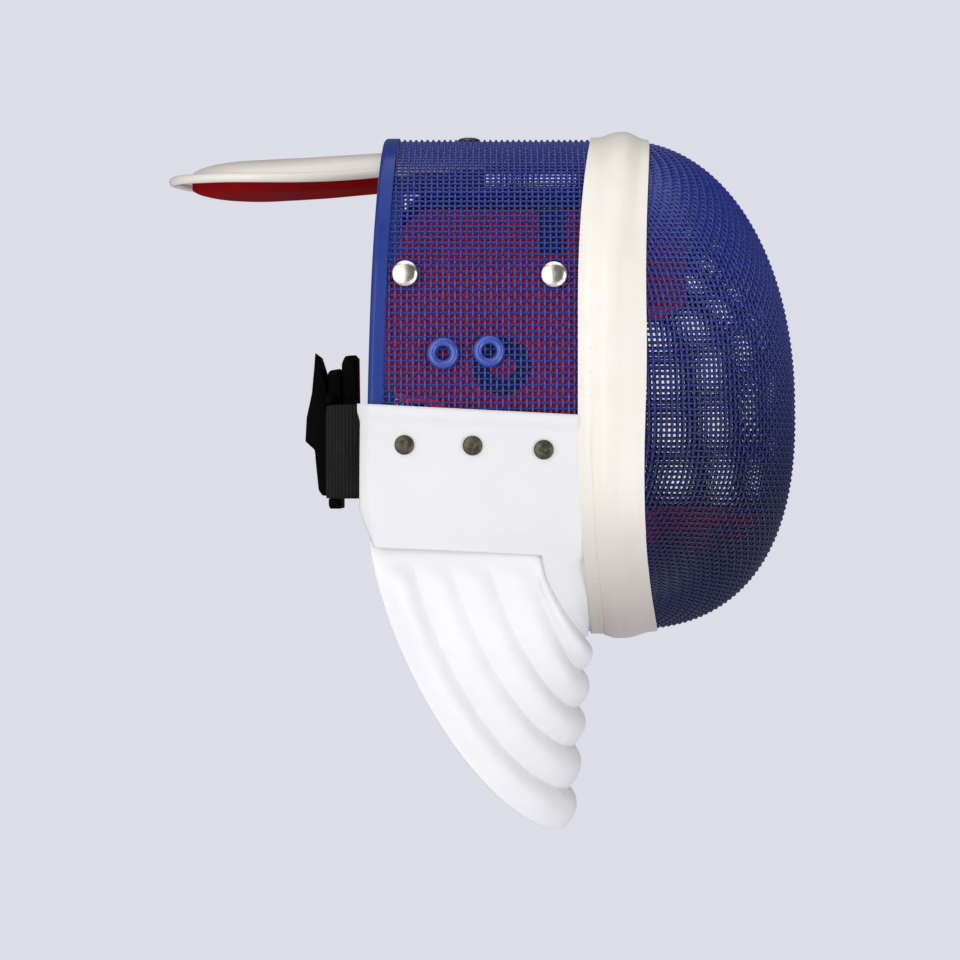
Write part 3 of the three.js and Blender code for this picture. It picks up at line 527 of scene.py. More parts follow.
def weave(name, crossings, normals, level_bend, replaced, width):
    """The two sets of wires through crossings (i, j): level ones along i, and upright ones along j."""
    level, upright = (0, level_bend, 1, level_paint), (1, DRAWN_WIRE - level_bend, -1, upright_paint_painted_highlight)
    for way, (along, bend, sign, paint) in {"level": level, "upright": upright}.items():
        lines = {}
        for cell in crossings:
            lines.setdefault(cell[1 - along], []).append(cell)
        paths = []
        for cells in lines.values():
            cells.sort(key=lambda c: c[along])
            bent = []
            for cell in cells:
                over = sign if sum(cell) % 2 == 0 else -sign
                bent.append((cell[along], crossings[cell] + normals[cell] * (over * bend - MESH / 2)))
            paths += [path for path in runs(bent) if len(path) > 1]
        wires(f"{name}_{way}_wires", paths, paint, replaced, width)


dome_cells = {}
for up, quarter in quarters.items():
    for (i, j), p in quarter.items():
        for side in (1, -1):
            dome_cells[side * i, up * j] = p * np.array([side, 1, 1])
keys = list(dome_cells)
gradients = slope(dome_level, np.array([dome_cells[k] for k in keys]))
gradients /= np.linalg.norm(gradients, axis=1, keepdims=True)
dome_normals = dict(zip(keys, gradients))
weave("dome", dome_cells, dome_normals, DOME_LEVEL_BEND, ["face_mesh"], DOME_WIRE)

# %% [markdown]
# The arch is bent one way only, so its wire keeps its squares. The crossings lie at equal steps round the
# arch and at equal steps from front to back.

# %% Wires of the arch
ARCH_START, ARCH_END = 3.4, -1.2  # gaps to the joint and to the rear edge


def arch_steps():
    """Values of t one pitch apart, from one leg's end to the other's."""
    steps, t = [0.0], 0.0
    while oval(t)[1] > LEG_END_Z:
        low, high = t, t + 0.1
        for _ in range(30):
            middle = (low + high) / 2
            near = (arch(middle, REAR_Y) - arch(t, REAR_Y)).length < PITCH
            low, high = (middle, high) if near else (low, middle)
        t = low
        steps.append(t)
    return [-s for s in reversed(steps[1:])] + steps


arch_cells, arch_normals = {}, {}
for j, t in enumerate(arch_steps()):
    x, z = oval(t)
    start, stop = joint_y(t) + ARCH_START, rear_y(z) + ARCH_END
    columns = round((REAR_Y + ARCH_END - JOINT_Y - ARCH_START) / PITCH)
    for i in range(columns + 3):
        y = REAR_Y + ARCH_END + REAR_LEAN - (i - 1) * PITCH
        if start <= y <= stop:
            arch_cells[i, j] = np.array(arch(t, y))
            arch_normals[i, j] = np.array(normal_of(arch, t, y, 1e-3, 0.1))
weave("arch", arch_cells, arch_normals, ARCH_LEVEL_BEND, ["side_mesh"], DRAWN_WIRE)

# %% [markdown]
# The rear edge of the wire is dressed with a painted steel channel, folded over it. A fold is easy to make
# as a sheet half way through its wall, carried round the arch. The Solidify modifier then gives it the
# metal's thickness, and a small Bevel catches the light along its edges.

# %% Rear rim
RIM_WIDTH, RIM_WALL, RIM_BACK = 8.2, 0.9, 1.1


def rim(u, v):
    """The middle of the fold: u goes from its outer edge round to its inner one, v from leg to leg."""
    outside, inside = SEAT_GAP + RIM_WALL / 2, -MESH - SEAT_GAP - RIM_WALL / 2
    radius = (outside - inside) / 2
    flat, bend = RIM_WIDTH - radius - RIM_WALL / 2, math.pi * radius
    run = u * (2 * flat + bend)
    turn = min(max((run - flat) / radius, 0), math.pi)
    behind = RIM_BACK - RIM_WALL / 2 - radius + radius * math.sin(turn)
    behind -= max(0, flat - run) + max(0, run - flat - bend)
    t = mix(-oval_at(LEG_END_Z), oval_at(LEG_END_Z), v)
    out = (outside + inside) / 2 + radius * math.cos(turn)
    return on_arch(t, rear_y(oval(t)[1]) + behind, out) * MM


def walled(surface, across, along, name, paint, node, slot, wall_mm, edge_mm, segments):
    """A sheet half way through its wall, thickened by Solidify. A Bevel rounds the edges of the wall."""
    bm = bmesh.new()
    grid(bm, surface, across, along)
    bmesh.ops.remove_doubles(bm, verts=bm.verts, dist=1e-6)
    bmesh.ops.recalc_face_normals(bm, faces=bm.faces)
    if sum(f.normal.dot(f.calc_center_median() - MIDDLE * MM) * f.calc_area() for f in bm.faces) < 0:
        bmesh.ops.reverse_faces(bm, faces=bm.faces)
    made = finish(bm, name, paint, [node], slot)
    solid = made.modifiers.new("wall", "SOLIDIFY")
    solid.thickness = wall_mm * MM
    solid.offset = 0
    solid.use_even_offset = True
    bevel = made.modifiers.new("soft_edges", "BEVEL")
    bevel.width = edge_mm * MM
    bevel.segments = segments
    bevel.angle_limit = math.radians(40)
    bevel.use_clamp_overlap = True


rim_paint = Paint("rim_paint", Specular_IOR_Level=0.15, Coat_Weight=0.04, Coat_Roughness=0.1)
rim_paint.colour(rim_paint.noise(60, 4), (27, 48, 116), (34, 56, 132))
rim_paint.feed("Roughness", rim_paint.noise(35, 4) * 0.22 + 0.14)
rim_paint.bump(rim_paint.noise(220, 3), 0.08, 0.35)
walled(rim, 26, 220, "painted_rim", rim_paint, "rear_rim", "rim", RIM_WALL, 0.25, 2)

# %% [markdown]
# A band of cream imitation leather is glued over the joint of dome and arch. It stands up over the turned-
# out lips of the mesh and lies thin at both edges. A fold with a row of stitches runs along its rear edge
# at each jaw, where the bib's cloth is caught under it.

# %% Trim band
BAND_REAR, BAND_WALL, LIP_HEIGHT = 17.0, 1.2, 3.0
FOLD_AT = 0.6  # of the way from the joint to the band's rear edge
BAND_FRONT = {0: 13.2, 0.3: 17.3, 0.5: 18.8, 0.62: 16.5, 0.75: 16.1, 1: 19.8}


def band_reach(t):
    """How far the band comes forward of the joint, from the crown (0) to the chin (1)."""
    near = np.abs(abs(t) + np.array([-0.06, -0.03, 0, 0.03, 0.06]))
    return float(np.mean(np.interp(near, list(BAND_FRONT), list(BAND_FRONT.values()))))


def band_behind(t, at):
    return at * (band_reach(t) if at < 0 else BAND_REAR)


def jaw_share(t):
    """1 beside the jaws, where the bib is sewn on, and 0 over the crown."""
    return smoothstep(min(abs(t), 2 - abs(t)), 0.52, 0.6)


def band_rise(t, at):
    hump = LIP_HEIGHT * (1 - smoothstep(abs(at), 0.1, 0.82))
    fold = 0.5 * math.exp(-(((at - FOLD_AT) / 0.035) ** 2)) * jaw_share(t)
    x, z = oval(t)
    slack = 0.28 * noise.noise(Vector((x, at * 30, z)) * 0.035)
    slack += 0.1 * noise.noise(Vector((x, at * 17, z)) * 0.11)
    return 2 * SEAT_GAP + BAND_WALL / 2 + hump - fold + slack * (1 - at * at)


def band(u, v):
    t, at = 2 * v - 1, 2 * u - 1
    return on_shell(t, band_behind(t, at), band_rise(t, at)) * MM


cream = Paint("cream_leatherette", Coat_Weight=0.12, Coat_Roughness=0.3)
stain = cream.noise(14, 4, 0.6)
grain = cream.node("TexVoronoi", {"feature": "DISTANCE_TO_EDGE"}, {"Vector": cream.place(), "Scale": 900.0})
unshaded_cream = cream.mix(stain.above(0.3, 0.5), (219, 214, 203), (227, 223, 215))
# Painted shade: the band's colour darkens towards the bottom, from Z = -145 mm to a grey cream below Z = -255
# mm, standing in for the shade on its lower part under the chin.
cream.colour(cream.axis(2).above(-0.255, 0.11), (166, 158, 149), unshaded_cream)
cream.feed("Roughness", stain * 0.2 + 0.33)
cream.bump(grain, 0.05, 0.35)
walled(band, 70, 300, "cream_band", cream, "trim_band", "band", BAND_WALL, 0.4, 3)

STITCHES, STITCH, THREAD = 34, 1.7, 0.45
cotton = Paint("sewing_thread", Base_Color=srgb(216, 210, 197), Roughness=0.8)
cotton.bump(cotton.noise(4000, 1), 0.05, 0.5)
bm = bmesh.new()
for side in (-1, 1):
    for k in range(STITCHES):
        t = side * mix(oval_at(-143), oval_at(-234), k / (STITCHES - 1))
        ends = (t, t + 0.004)
        here, ahead = (on_shell(s, band_behind(s, FOLD_AT), band_rise(s, FOLD_AT) + 0.75) for s in ends)
        where = placed(here, ahead - here, (THREAD, THREAD, STITCH))
        bmesh.ops.create_uvsphere(bm, u_segments=6, v_segments=4, radius=0.5, matrix=where)
finish(bm, "band_stitches", cotton)

# %% [markdown]
# The bib hangs from a flap of white cloth. On each cheek the flap lies on the wire, passes over the rim and
# folds back inside. Under the chin it goes on as a narrow strip. Flap and strip are one grid of cells on
# the right surface, with the cells that aren't cloth taken out before front and back are joined.

# %% Shape of the bib
FLAP_WALL, FLAP_TOP_Z, FLAP_END_Z, FLAP_TUCK, FLAP_SLOPE = 2.6, -126.0, -200.0, 8.0, 0.05
FLAP_BEHIND, FLAP_RETURN, HEM_HEIGHT, HEM_EXTRA = 4.8, 16.0, 8.0, 0.7
YOKE_WIDTH, YOKE_END_WIDTH = 21.0, 4.0
BIB_WALL, BIB_TOP_Z, BIB_FREE_Y, BIB_FREE_HALF_WIDTH, BIB_INSET = 2.4, -188.0, 51.5, 92.0, 3.5
BIB_TIP_Y, BIB_TIP_Z, ROLL_OUT, ROLL_IN = -52.5, -350.0, 5.2, 1.8
BIB_FRONT_POWER, BIB_SIDE_POWER = 3.0, 1.5
SEAMS_FRONT = [0, 0.2, 0.385, 0.58, 0.795, 1]
SEAMS_SIDE = [0, 0.24, 0.46, 0.64, 0.815, 1]
BIB_TOP, FLAP_END = oval_at(BIB_TOP_Z), oval_at(FLAP_END_Z)


def yoke_width(t):
    share = clamp((abs(t) - FLAP_END) / (1 - FLAP_END))
    return mix(YOKE_WIDTH, YOKE_END_WIDTH, math.sin(share * math.pi / 2))


def band_edge_y(t):
    return joint_y(t) + BAND_REAR + SEAT_GAP


def bib_rail(u):
    t = mix(1, BIB_TOP, abs(u))
    room = (FLAP_WALL + 2 * SEAT_GAP) * max(0, math.cos(u * math.pi / 2)) ** 0.5
    point = arch(t, band_edge_y(t) + room)
    return Vector((math.copysign(abs(point.x), u), point.y, point.z))


def bib_free(u):
    turn = abs(u) * math.pi / 2
    drop = max(0, math.cos(turn)) ** (2 / BIB_FRONT_POWER)
    x = math.copysign(BIB_FREE_HALF_WIDTH * math.sin(turn) ** (2 / BIB_FRONT_POWER), u)
    y = BIB_TIP_Y + (BIB_FREE_Y - BIB_TIP_Y) * (1 - drop**BIB_SIDE_POWER) ** (1 / BIB_SIDE_POWER)
    return Vector((x, y, mix(BIB_TOP_Z, BIB_TIP_Z, drop)))


def bib(u, w):
    """A point of the bib. w counts seams from the yoke to the free edge."""
    shares = [np.interp(w, range(6), seams) for seams in (SEAMS_FRONT, SEAMS_SIDE)]
    point = bib_rail(u).lerp(bib_free(u), mix(*shares, abs(u) ** 1.4))
    point.x -= math.copysign(BIB_INSET * smoothstep(abs(u), 0.55, 0.85), u)
    return point


def bib_row(u, distance):
    first = mix(SEAMS_FRONT[1], SEAMS_SIDE[1], abs(u) ** 1.4)
    return distance / (bib_rail(u) - bib_free(u)).length / first


def on_bib(u, w, out):
    a, b = min(max(u, -0.97), 0.97), min(max(w, 0.02), 3.98)
    along_u, along_w = bib(a + 0.01, b) - bib(a - 0.01, b), bib(a, b + 0.01) - bib(a, b - 0.01)
    normal = along_u.cross(along_w).normalized()
    if -normal.y + math.copysign(normal.x, normal.x * u) < 0:
        normal = -normal
    return bib(u, w) + normal * out


print("bib tip:", [round(v) for v in bib(0, 5)])

# %% Flap and strip
TUCKED = 0.03  # the share of the grid that lies under the band
STRIP, FOLD = 0.16, 0.72  # shares of the rest, to the strip's edge and to the fold behind the rim
SIDE_ROWS = 0.3


def flap_row(v):
    """The t of a row, and whether it lies on a cheek."""
    hem = oval_at(FLAP_TOP_Z)
    if v <= SIDE_ROWS:
        return -mix(hem, FLAP_END, v / SIDE_ROWS), True
    if v >= 1 - SIDE_ROWS:
        return mix(hem, FLAP_END, (1 - v) / SIDE_ROWS), True
    share = (v - SIDE_ROWS) / (1 - 2 * SIDE_ROWS)
    return (-mix(FLAP_END, 1, 2 * share) if share < 0.5 else mix(1, FLAP_END, 2 * share - 1)), False


def along_path(corners, share, soft=1.6):
    """A point at a share of a path's length, its corners rounded."""
    points = np.array(corners, float)
    lengths = lengths_along(points)
    soft = min(soft, share * lengths[-1], (1 - share) * lengths[-1])
    near = share * lengths[-1] + np.linspace(-soft, soft, 7)
    return [float(np.mean(np.interp(near, lengths, column))) for column in points.T]


def hem_roll(z_below):
    """Extra thickness over the turned hem at the flap's top edge."""
    share = clamp(z_below / HEM_HEIGHT)
    fullness = math.sin(math.pi * min(share * 1.15, 1)) ** 0.6
    return HEM_EXTRA * (1 - smoothstep(share, 0.85, 1.0)) + 0.9 * fullness


def flap_paths(t, wall_out):
    """The sheet from the strip's edge to the fold, and from the fold back inside, as (y, out)."""
    z = oval(t)[1]
    edge, lift = rear_y(z) + RIM_BACK, RIM_WALL + 2 * SEAT_GAP
    tuck = FLAP_TUCK * smoothstep(-z, 4 - LEG_END_Z, 4 - FLAP_END_Z)
    step, deep, inner = edge - RIM_WIDTH - tuck, -MESH - lift, FLAP_WALL if wall_out else 0
    bulge = 1.6 * smoothstep(z - FLAP_TOP_Z, -10, -3)
    behind = FLAP_BEHIND - RIM_BACK + bulge if wall_out else SEAT_GAP * 2
    fold = (edge + behind - tuck, -MESH / 2)
    sheet = [(band_edge_y(t) + YOKE_WIDTH, SEAT_GAP + wall_out), (step - 14, SEAT_GAP + wall_out)]
    sheet += [(step, lift + wall_out), (edge - 1.2 - tuck, lift + wall_out)]
    sheet += [(edge + behind - tuck, lift - 0.9), fold]
    back = [fold, (edge + behind, deep + 0.9), (edge - 1.2, deep - inner), (edge - FLAP_RETURN, deep - inner)]
    return sheet, back


def under_band(t, thickness):
    """Where the cloth ends under the band's rear edge."""
    return on_shell(t, BAND_REAR - 2.5, 0.2 + 0.25 * thickness)


def flap(u, v, outer):
    """A point of the cloth's outer or inner face. u runs from the band's edge back, v from cheek to cheek."""
    t, is_side = flap_row(v)
    if u < TUCKED:
        return flap(TUCKED, v, outer).lerp(under_band(t, outer) * MM, 1 - u / TUCKED)
    u = (u - TUCKED) / (1 - TUCKED)
    across = u / STRIP
    near_band = 0.6 + 0.4 * smoothstep(across, 0, 1)
    if not is_side:
        share = math.copysign((1 - abs(t)) / (1 - BIB_TOP), t)
        thin = (1 - 0.93 * smoothstep(across, 0.3, 1)) * near_band
        row = bib_row(share, yoke_width(t) * min(across, 1))
        return on_bib(share, row, SEAT_GAP + outer * FLAP_WALL * thin) * MM
    x, z = oval(t)
    slack = 0.22 * noise.noise(Vector((x + 40, u * 60, z)) * 0.06)
    lower_edge = 1 - 0.85 * smoothstep(-z, -FLAP_END_Z - 14, -FLAP_END_Z)
    wall_out = outer * (FLAP_WALL * near_band * lower_edge + hem_roll(FLAP_TOP_Z - z) + slack)
    if u <= STRIP:
        y, out = band_edge_y(t) + YOKE_WIDTH * across, SEAT_GAP + wall_out
    else:
        sheet, back = flap_paths(t, wall_out)
        path, share = (sheet, (u - STRIP) / (FOLD - STRIP)) if u <= FOLD else (back, (u - FOLD) / (1 - FOLD))
        y, out = along_path(path, clamp(share))
    height = z + FLAP_SLOPE * (y - band_edge_y(t))
    return on_arch(math.copysign(oval_at(height), t), y, out) * MM


LEGS = oval_at(LEG_END_Z - 1)


def is_flap(u, v):
    t, is_side = flap_row(v)
    u = (u - TUCKED) / (1 - TUCKED)
    return u < STRIP or (is_side and (u < FOLD or abs(t) < LEGS))


white = Paint("white_cloth", Roughness=0.82, Sheen_Weight=0.15)
white.colour(white.noise(9, 4, 0.6).above(0.35, 0.4), (209, 209, 208), (216, 216, 215))
white.bump(white.noise(700, 3, 0.6), 0.16, 0.5)
flap_mesh = cushion(flap, 100, 200, is_flap)
flap_area = sum(f.calc_area() for f in flap_mesh.faces) / 2
flap_piece = finish(flap_mesh, "white_flap", white, ["bib_flap"], slot="white_cloth")
print("flap area:", round(flap_area, 4), "m2")

# %% [markdown]
# The bib itself is quilted: five rolls of padding between curved seams that fan from the chin to both jaws.
# Its front bulges between seams and its back stays flatter. Small puckers cross the seams, where the thread
# draws the cloth in.

# %% Quilted bib
def roll(u, w):
    """How full the padding is at a point: 0 on a seam and 1 along the middle of a roll."""
    strip = bib_row(u, yoke_width(mix(1, BIB_TOP, abs(u))) + 0.6)
    k = min(int(w), 4)
    start = strip if k == 0 else k
    share = clamp((w - start) / (k + 1 - start))
    below_flap = smoothstep(-bib(u, w).z, 3 - FLAP_END_Z, 13 - FLAP_END_Z)
    softness = mix(0.75, 1.3, smoothstep(abs(u), 0.04, 0.4))
    height = 1 if k == 4 else mix(1, 0.6, smoothstep(abs(u), 0.3, 0.85))
    return height * max(0, math.sin(math.pi * share**0.85)) ** softness * below_flap


def bib_surface(u, v, outer):
    across, w = (2 * u - 1) * 0.9999, 5 * v
    full = roll(across, w)
    spot = bib(across, w)
    if not outer:
        return on_bib(across, w, -BIB_WALL - ROLL_IN * full) * MM
    seam = abs(w - round(w)) if 0.5 < w < 4.6 else 1
    pucker = noise.noise(spot * 0.16) * math.exp(-((seam / 0.22) ** 2)) * 0.8
    slack = noise.noise(spot * 0.045) * 0.9 + noise.noise(spot * 0.11) * 0.3
    relief = (pucker + slack * full) * smoothstep(-spot.z, 3 - FLAP_END_Z, 20 - FLAP_END_Z)
    return on_bib(across, w, ROLL_OUT * full + relief) * MM


quilt = Paint("quilted_cotton", Roughness=0.9, Sheen_Weight=0.2)
lines = thread_wave(quilt, 2, 1.7) * 0.5 + quilt.noise(500, 3, 0.6) * 0.8
quilt.colour(quilt.noise(11, 4, 0.6).above(0.3, 0.5), (222, 221, 221), (229, 228, 228))
quilt.bump(lines, 0.14, 0.45)
bib_piece = finish(cushion(bib_surface, 210, 130), "quilted_bib", quilt, ["bib_pad"], slot="white_cloth")

# %% [markdown]
# Behind the wire are red pads. From outside they show as red squares between the wires, so their cloth
# needs colour more than shape. Each is a cushion whose outer face follows the mesh and whose inner face
# swells.

# %% Red pads
PAD_GAP, PAD_THICKNESS = 2.6, 12.0
PAD_FRONT, PAD_REAR, PAD_TOP, PAD_BOTTOM, PAD_WAIST, PAD_REAR_BELOW = -78.0, 43.0, -5.0, -176.0, -113.0, 12.0
HEAD_HALF, HEAD_ROOT, HEAD_REACH, HEAD_TOP, HEAD_BOTTOM, HEAD_DIP = 80, -79, 40, -6, -64, 10
CHIN_TOP, CHIN_FALL, CHIN_END, CHIN_RIM, CHIN_GAP = -176, 14, -180, 0.988, 1.15


def puff(a, b):
    """A cushion's fullness over a square: 1 in the middle and 0 at the edges."""
    return (math.sin(math.pi * a) * math.sin(math.pi * b)) ** 0.4 if 0 < a < 1 and 0 < b < 1 else 0


def edge_turn(a, b):
    """How far the outer face turns in along the edges."""
    near = min(a, 1 - a, b, 1 - b) / 0.04
    return (1 - min(near, 1)) ** 2


def pad_depth(u, v, outer, turned=1.6, thin=2.4):
    return turned * edge_turn(u, v) if outer else thin + (PAD_THICKNESS - thin) * puff(u, v)


def side_pad(side, u, v, outer):
    z = mix(PAD_TOP, PAD_BOTTOM, v)
    corner = 7 * (1 - smoothstep(v, 0.2, 0.3)) + 12 * max(0, 1 - v / 0.12) ** 2
    rear = mix(PAD_REAR, PAD_REAR_BELOW, smoothstep(-z, -PAD_WAIST, -PAD_WAIST + 7)) - corner
    y = mix(PAD_FRONT, rear, u)
    return on_arch(side * oval_at(z), y, -MESH - PAD_GAP - pad_depth(u, v, outer)) * MM


def forehead_pad(u, v, outer):
    angle = mix(-1, 1, u) * math.pi / 2
    sideways = abs(math.sin(angle))
    low = HEAD_BOTTOM - 0.6 * HEAD_DIP * sideways
    spot = Vector((
        math.copysign(HEAD_HALF * sideways**0.9, angle),
        HEAD_ROOT - HEAD_REACH * max(0, math.cos(angle)) ** 0.9,
        mix(HEAD_TOP - HEAD_DIP * sideways, low, v),
    ))
    return (spot + Vector((-math.sin(angle), math.cos(angle), 0)) * pad_depth(u, v, outer)) * MM


def chin_pad(u, v, outer):
    turn = mix(-1, 1, u)
    t = 1 - turn * (1 - oval_at(CHIN_END))
    top = (CHIN_TOP - CHIN_FALL * (1 - abs(turn)) - APEX_Z) / (oval(t)[1] - APEX_Z)
    inwards = MESH + CHIN_GAP + pad_depth(u, v, outer, 0.8, 2.0)
    return on_dome(t, mix(top, CHIN_RIM, v), -inwards) * MM


def red_pile(paint):
    pile = paint.noise(420, 3, 0.6)
    paint.bump(pile, 0.5, 0.6)
    return paint.mix(pile.above(0.3, 0.4), (206, 12, 34), (250, 24, 48))


fleece = Paint("red_fleece", Roughness=0.95)
fleece.feed("Base Color", red_pile(fleece))

# The side pads are bound in dark cloth along the top and round the rear corner.
bound = Paint("bound_fleece", Roughness=0.95)
behind_corner = (bound.axis(1) - 0.020).larger(0.0)
below_binding = bound.axis(2) * -1 - 0.018 - behind_corner**2 * 53.5
bound.colour(below_binding.above(0, 0.0015), (14, 17, 36), red_pile(bound))


def pad(name, mesh, paint, replaced, slot="red_cloth"):
    finish(mesh, name, paint, [replaced], slot)


SIDES = {"right": -1, "left": 1}
for name, side in SIDES.items():
    pad(f"red_side_pad_{name}", cushion(functools.partial(side_pad, side), 60, 80), bound, f"side_pad_{name}")
pad("red_forehead_pad", cushion(forehead_pad, 80, 36), fleece, "forehead_pad")
pad("red_chin_pad", cushion(chin_pad, 80, 30), fleece, "chin_pad")

# %% [markdown]
# Turned parts are drawn as half a section and spun: bright snap caps, rolled blue rings, dull rivets and
# the dark ring over the ear. One helper spins a profile and another sets it square on the shell.

# %% Fasteners
def turned(profile, steps=48):
    """A profile of (radius, height) in millimetres, spun about Z."""
    bm = bmesh.new()
    points = [bm.verts.new((r, 0, h)) for r, h in profile]
    edges = [bm.edges.new(pair) for pair in zip(points, points[1:])]
    bmesh.ops.spin(bm, geom=points + edges, axis=(0, 0, 1), angle=2 * math.pi, steps=steps, use_merge=True)
    bmesh.ops.remove_doubles(bm, verts=bm.verts, dist=1e-4)
    bmesh.ops.recalc_face_normals(bm, faces=bm.faces)
    return bm


def set_square(bm, place, normal):
    bmesh.ops.transform(bm, matrix=placed(place, normal), verts=bm.verts)
    return bm


def on_cheek(bm, side, y, z, out):
    t = side * oval_at(z)
    return set_square(bm, on_arch(t, y, out), normal_of(arch, t, y, 1e-3, 0.1))


def dome_cap(radius, height, edge, power, steps=12):
    """The profile of a low dome on a straight edge."""
    rise = [(radius * math.cos(k / steps * math.pi / 2) ** 0.9, k / steps) for k in range(steps + 1)]
    top = [(r, edge + (height - edge) * (1 - (r / radius) ** power) ** (1 / power)) for r, _ in rise]
    return [(0, 0), (radius * 0.96, 0), (radius, edge * 0.4), *top]


nickel = Paint("bright_nickel", Base_Color=srgb(226, 222, 208), Metallic=1.0)
nickel.feed("Roughness", nickel.noise(300, 3) * 0.08 + 0.2)
nickel.bump(nickel.noise(120, 2), 0.03, 0.2)
gunmetal = Paint("dull_gunmetal", Metallic=0.85)
tarnish = gunmetal.noise(380, 4, 0.65)
gunmetal.colour(tarnish.above(0.35, 0.3), (60, 55, 46), (94, 88, 76))
gunmetal.feed("Roughness", tarnish * 0.3 + 0.3)
gunmetal.bump(tarnish, 0.06, 0.5)
ring_paint = Paint("ring_paint", Base_Color=srgb(42, 66, 152), Coat_Weight=0.3, Coat_Roughness=0.1)
ring_paint.feed("Roughness", ring_paint.noise(200, 3) * 0.2 + 0.2)
felt = Paint("dark_felt", Roughness=0.95, Sheen_Weight=0.3)
felt.colour(felt.noise(600, 3), (16, 18, 24), (34, 38, 46))
felt.bump(felt.noise(900, 3, 0.6), 0.3, 0.6)

SNAPS = {"rear": (32.7, -53.2), "front": (-44.3, -53.7)}
EYELETS = {"rear": (13.1, -94.3), "front": (-10.7, -93.2)}
RIVETS = {"rear": (33, -141.6), "middle": (-2.2, -141.9), "front": (-38.9, -143.9)}
CAP = dome_cap(6.9, 3.3, 0.9, 2.3)
RIVET = [(0, 0), (4.9, 0), (5.1, 0.2), (5.1, 0.55), (4.85, 0.95), (4.3, 1.2)]
RIVET += [(2.6, 1.42), (1.1, 1.46), (0.7, 1.3), (0, 1.26)]
ROLL, ROLL_AT = 2.4, 5.9  # the ring's rolled edge and the radius of its middle
TURNED = [a / 10 * math.pi for a in range(11)]
RING = [(ROLL_AT + ROLL * math.cos(a), 0.5 + ROLL * math.sin(a)) for a in TURNED]
RING = [(ROLL_AT - ROLL, 0), (ROLL_AT + ROLL, 0), *RING, (ROLL_AT - ROLL, 0)]
EAR = [(6.8, 0), (15, 0), (15, 0.9), (14.5, 1.4), (7.3, 1.4), (6.8, 0.9), (6.8, 0)]

FASTENERS = (
    (SNAPS, CAP, SEAT_GAP, "nickel_cap", nickel, "snap", "nickel"),
    (EYELETS, RING, SEAT_GAP, "rolled_ring", ring_paint, "eyelet", "rim"),
    (RIVETS, RIVET, 2 * SEAT_GAP + FLAP_WALL, "bib_stud", gunmetal, "bib_rivet", "gunmetal"),
)
for name, side in SIDES.items():
    for rows, profile, out, title, paint, node, slot in FASTENERS:
        for row, (y, z) in rows.items():
            made = on_cheek(turned(profile), side, y, z, out)
            finish(made, f"{title}_{row}_{name}", paint, [f"{node}_{row}_{name}"], slot)
    ear = on_cheek(turned(EAR), side, -17.2, -100.8, -MESH - SEAT_GAP - 1.5)
    finish(ear, f"felt_ring_{name}", felt, [f"ear_ring_{name}"], "black_cloth")

# %% [markdown]
# A dark patch is sewn to each side pad near the brow, between pad and wire.

# %% Patches on the side pads
def patch(side, u, v, outer):
    z, y = mix(-16, -41, v), mix(-50.3, -37.3, u)
    depth = 0.35 * edge_turn(u, v) if outer else 1.2
    return on_arch(side * oval_at(z), y, -MESH - 2 * SEAT_GAP - depth) * MM


for name, side in SIDES.items():
    sewn = cushion(functools.partial(patch, side), 16, 28)
    finish(sewn, f"felt_patch_{name}", felt, [f"pad_tab_{name}"], "black_cloth")

# %% [markdown]
# The tongue reaches back over the head: a sprung plate in a cover, white above and red below, with a round
# edge of piping between them. Cover and pad are two half cushions. The piping is a tube along the tongue's
# outline.

# %% Tongue
ROOT_Y, TIP_Y, TONGUE_HALF, TONGUE_ARCH, PIPING = -8.0, 165.0, 44.0, 4.0, 2.5
TONGUE_PUFF, TONGUE_PAD, TONGUE_FALL, TONGUE_EDGE_Z = 7.5, 10.5, 0.064, 14.1
PADDING_END = TIP_Y - 2 * PIPING - 6
COVER_INSET, PAD_INSET = 1.5 * PIPING, 2 * PIPING + 1.6


def tongue_half(y):
    share = (y - ROOT_Y) / (TIP_Y - ROOT_Y)
    ending = max(0, (share - 0.72) / 0.28)
    return TONGUE_HALF * mix(0.66, 1, smoothstep(share, 0.1, 0.75)) * math.sqrt(max(0, 1 - ending**1.9))


def tongue_z(x, y):
    sag = 6.5 * (1 - smoothstep((y - ROOT_Y) / (TIP_Y - ROOT_Y), 0.3, 0.85))
    return TONGUE_EDGE_Z - TONGUE_FALL * y - (TONGUE_ARCH + sag) * (x / TONGUE_HALF) ** 2


def tongue(direction, puffed, end, inset, u, v, outer):
    """A point of the cover or the pad. The inner faces lie on the plate, and padding ends before the tip."""
    y = mix(ROOT_Y, end, v)
    half = max(4, tongue_half(mix(ROOT_Y, TIP_Y, v)) - inset)
    a = 2 * u - 1
    padded = min(1, (y - ROOT_Y) / (PADDING_END - ROOT_Y))
    padded = min(1, padded + 0.1 * a * a * smoothstep(padded, 0.6, 1))
    ends = (1 - max(0, (padded - 0.5) / 0.5) ** 7) ** 0.5
    slack = 0.25 * noise.noise(Vector((half * a, y, direction * 9)) * 0.05)
    rise = 0.85 + (puffed * (1 - abs(a) ** 4.5) + slack) * ends if outer else 0.15
    return Vector((half * a, y, tongue_z(half * a, y) + direction * rise)) * MM


